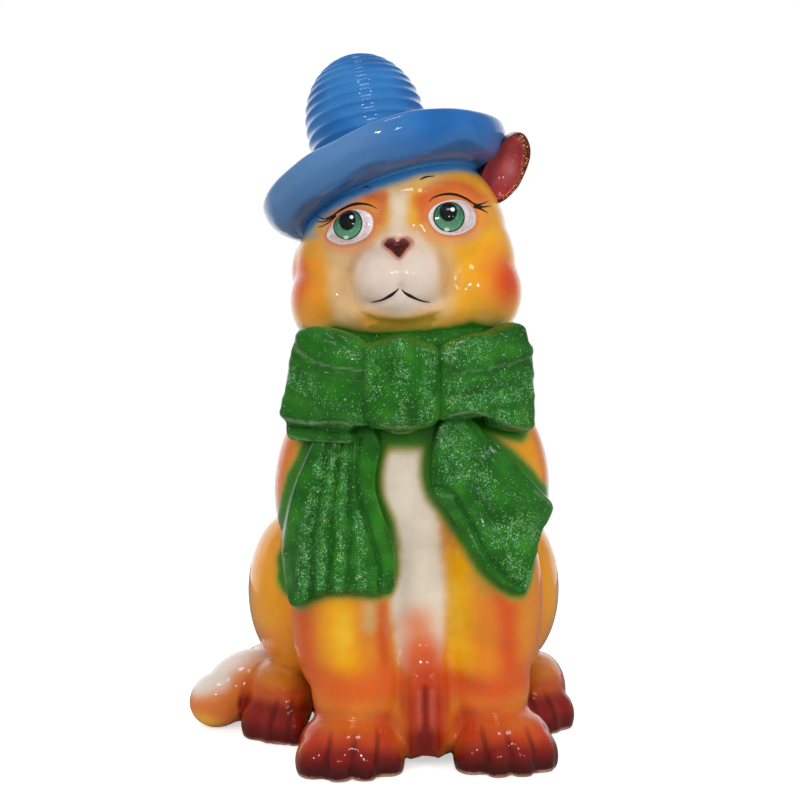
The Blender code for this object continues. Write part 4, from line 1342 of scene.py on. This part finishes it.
def paintHat():
    brush = Airbrush(hatBrim, "1f6cb8", rimFrame)
    x, y, z = brush.points.T
    radius = np.hypot(x, y)
    patch = ripple(brush.points, 24.0, 4)
    brush.lay("2f7cc6", 0.55 * softStep(patch * 2 + 0.1))
    brush.lay("1a5898", 0.5 * softStep(-patch * 2 - 0.1))
    turn = np.arctan2(y, x)
    west = softStep(-np.cos(turn - 0.35) * 1.3)
    brush.lay("6a93bd", 0.7 * west * softStep((radius - 54) / 12))
    brush.lay("3d74ae", 0.5 * softStep((-z - 8 + patch * 9) / 5.0))
    # Dark navy in the crease where the brim meets the head is painted shade.
    wearAndPaintedLight = softStep((-z - 15.2 + patch * 3.5) / 1.6) * softStep((radius - 47.5) / 3)
    brush.lay("234a76", 0.7 * wearAndPaintedLight)
    brush.lay("5aa4dc", 0.9 * softStep((50.5 - radius) / 3))
    brush.store()
    brush = Airbrush(hatCrown, "2272bc", crownFrame)
    patch = ripple(brush.points, 22.0, 9)
    brush.lay("3d8ad0", 0.6 * softStep(patch * 2 + 0.2))
    brush.lay("2466a8", 0.5 * softStep(-patch * 2))
    # Darker towards the foot of the crown, down in the brim: painted shade.
    brush.lay("2a62a0", 0.5 * softStep((6 - brush.points[:, 2]) / 12))
    brush.store()


hatBrim = makeBrim()
hatCrown = makeCrown()
paintHat()
hatPaint = airbrushedPaint("hatPaint", 0.2)
finishPiece(hatBrim, hatPaint, "blue_glaze", "hat_brim")
finishPiece(hatCrown, hatPaint, "blue_glaze", "hat_crown")

print("ear")
ear = {
    "outline": ((51.5, 334), (57.5, 337.7), (62, 336), (64.9, 329.2), (64.3, 321.6),
                (59.6, 310.1), (55, 304.4), (50.5, 300.6), (43, 298), (34, 304), (37, 315),
                (45, 326)),
    "front": -10, "depth": 17,
    "hollow": ("ball", (49.8, -15.0, 319), (11.2, 10.5, 19.5), (0, 18, 0)),
}


def makeEar():
    piece = slab("catEar", smoothed(ear["outline"], 4, closed=True), ear["front"], ear["depth"])
    evened(piece, 0.8, 16)
    cut(piece, clay("earHollow", (ear["hollow"],), voxel=0.8, smooth=4))
    evened(piece, 0.7, 4)
    brush = Airbrush(piece, "6c1a14")
    x, _, z = brush.points.T
    centre = np.array(ear["hollow"][1])
    turn = np.array(turned(ear["hollow"][3]).to_3x3())
    away = np.linalg.norm(((brush.points - centre) @ turn) / np.array(ear["hollow"][2]), axis=1)
    hollow = softStep((1.09 - away) / 0.09)
    brush.lay("b23e42", hollow)
    # The pinker patch inside the hollow is a painted highlight.
    brush.lay("d08084", hollow * 0.55 * softStep(1 - np.hypot((x - 54) / 6, (z - 318) / 11)))
    brush.lay("c43230", hollow * 0.7 * softStep((311 - z) / 8))
    # Darker on the side of the hollow next to the brim: painted shadow of the brim.
    brush.lay("7a262c", hollow * 0.8 * softStep((50.5 - x + (z - 318) * 0.45) / 5))
    brush.lay("3c0c0a", 0.85 * softStep(1 - np.abs(away - 1.1) / 0.07))
    brush.lay("d07a2c", softStep((brush.normals[:, 1] - 0.1) * 2.5))
    brush.store()
    rim = softStep(1.2 - np.abs(away - 1.12) / 0.12) * softStep((x - 52 - (z - 320) * 0.2) / 5)
    storeValue(piece, "glitter", rim * 0.55 * softStep(0.6 - brush.normals[:, 1]))
    return piece


catEar = makeEar()
earPaint = glitterPaint("earPaint", (
    (0.0, "c88a30"), (0.35, "e8b85a"), (0.6, "f4dc9c"), (0.85, "b05a28"),
))
finishPiece(catEar, earPaint, "maroon_glaze", "ear_left")

print("studio")
studio = {
    "floorSize": 0.5, "floorDrop": 0.0003, "floorGlow": 0.55,
    "skyFront": 0.12, "skyBack": 1.0, "skySpan": (-0.75, 0.35),
    "glossSide": 0.16, "glossBack": 1.05, "glossSpan": (0.55, 0.9),
    "cameraAim": (-5.5, 0, 190), "distance": 1100, "azimuth": -6, "elevation": 9,
    "lens": 89.37, "sensor": 36, "shift": 0.00125,
}
# where each lamp hangs, its size in metres, its power, and whether the lacquer mirrors it
lamps = {
    "keySoftbox": ((-600, -1000, 900), (0.8, 0.8), 5.9, False),
    "fillSoftbox": ((800, -900, 500), (0.8, 0.8), 4.72, False),
    "stripRight": ((-190, -1150, 760), (0.10, 0.075), 1.0, True),
    "stripLeft": ((260, -1150, 720), (0.10, 0.06), 0.5, True),
    "topSoftbox": ((-60, -380, 1300), (0.3, 0.2), 1.3, True),
}


def makeFloor():
    bpy.ops.object.select_all(action="DESELECT")
    bpy.ops.mesh.primitive_circle_add(vertices=96, radius=studio["floorSize"], fill_type="NGON")
    floor = bpy.context.object
    floor.name = "studioFloor"
    floor.data.transform(Matrix.Translation((0, 0, boxLow.z - studio["floorDrop"])))
    bench = NodeBench(bpy.data.materials.new("studioFloorPaint"))
    where = bench.where()
    tone = bench.span(bench.noise(where, 3.0), 0.3, 0.7, 0.93, 0.97)
    seen = bench.add("LightPath")
    darker = bench.math("SUBTRACT", tone, bench.math("MULTIPLY", seen.outputs["Is Glossy Ray"], 0.75))
    bench.plug("Base Color", bench.mix(1.0, (0.98, 0.98, 0.98, 1), darker, "MULTIPLY"))
    bench.plug("Roughness", 0.7)
    bench.plug("Emission Color", (1, 1, 1, 1))
    glow = bench.math("MULTIPLY", seen.outputs["Is Camera Ray"], studio["floorGlow"])
    bench.plug("Emission Strength", glow)
    floor.data.materials.append(bench.owner)


def areaLight(name, at, size, power, glossy):
    data = bpy.data.lights.new(name, "AREA")
    data.shape = "RECTANGLE"
    data.size, data.size_y = size
    data.energy = power
    lamp = bpy.data.objects.new(name, data)
    bpy.context.scene.collection.objects.link(lamp)
    place = figureFrame @ Vector(at)
    lamp.location = place
    way = figureFrame @ Vector((0, 0, 190)) - place
    lamp.rotation_euler = way.to_track_quat("-Z", "Y").to_euler()
    lamp.visible_glossy = glossy


# dim from the front, bright from behind, and darker again where the lacquer mirrors it
def makeSky():
    bench = NodeBench(bpy.data.worlds.new("studioSky"), "Background")
    parts = bench.add("SeparateXYZ", {0: bench.add("TexCoord").outputs["Generated"]})
    back = parts.outputs[1]

    def ramp(span, low, high):
        inputs = {0: back, 1: span[0], 2: span[1], 3: low, 4: high}
        return bench.add("MapRange", inputs).outputs[0]

    level = ramp(studio["skySpan"], studio["skyFront"], studio["skyBack"])
    shine = ramp(studio["glossSpan"], studio["glossSide"], studio["glossBack"])
    seen = bench.add("LightPath")
    glossy = seen.outputs["Is Glossy Ray"]
    either = bench.add("Mix", {0: glossy, 2: level, 3: shine})
    whole = bench.math("MAXIMUM", either.outputs[0], seen.outputs["Is Camera Ray"])
    bench.plug("Color", (1, 1, 1, 1))
    bench.plug("Strength", whole)
    bpy.context.scene.world = bench.owner


def makeCamera():
    data = bpy.data.cameras.new("studioCamera")
    data.lens = studio["lens"]
    data.sensor_width = studio["sensor"]
    data.shift_y = studio["shift"]
    data.clip_start = 0.05
    camera = bpy.data.objects.new("studioCamera", data)
    bpy.context.scene.collection.objects.link(camera)
    aim = figureFrame @ Vector(studio["cameraAim"])
    side = math.radians(studio["azimuth"])
    rise = math.radians(studio["elevation"])
    level = math.cos(rise)
    away = Vector((math.sin(side) * level, -math.cos(side) * level, math.sin(rise)))
    camera.location = aim + away * studio["distance"] * mm
    camera.rotation_euler = (-away).to_track_quat("-Z", "Y").to_euler()
    bpy.context.scene.camera = camera
    bpy.context.scene.view_settings.view_transform = "Standard"


makeFloor()
makeSky()
for name, lamp in lamps.items():
    areaLight(name, *lamp)
makeCamera()
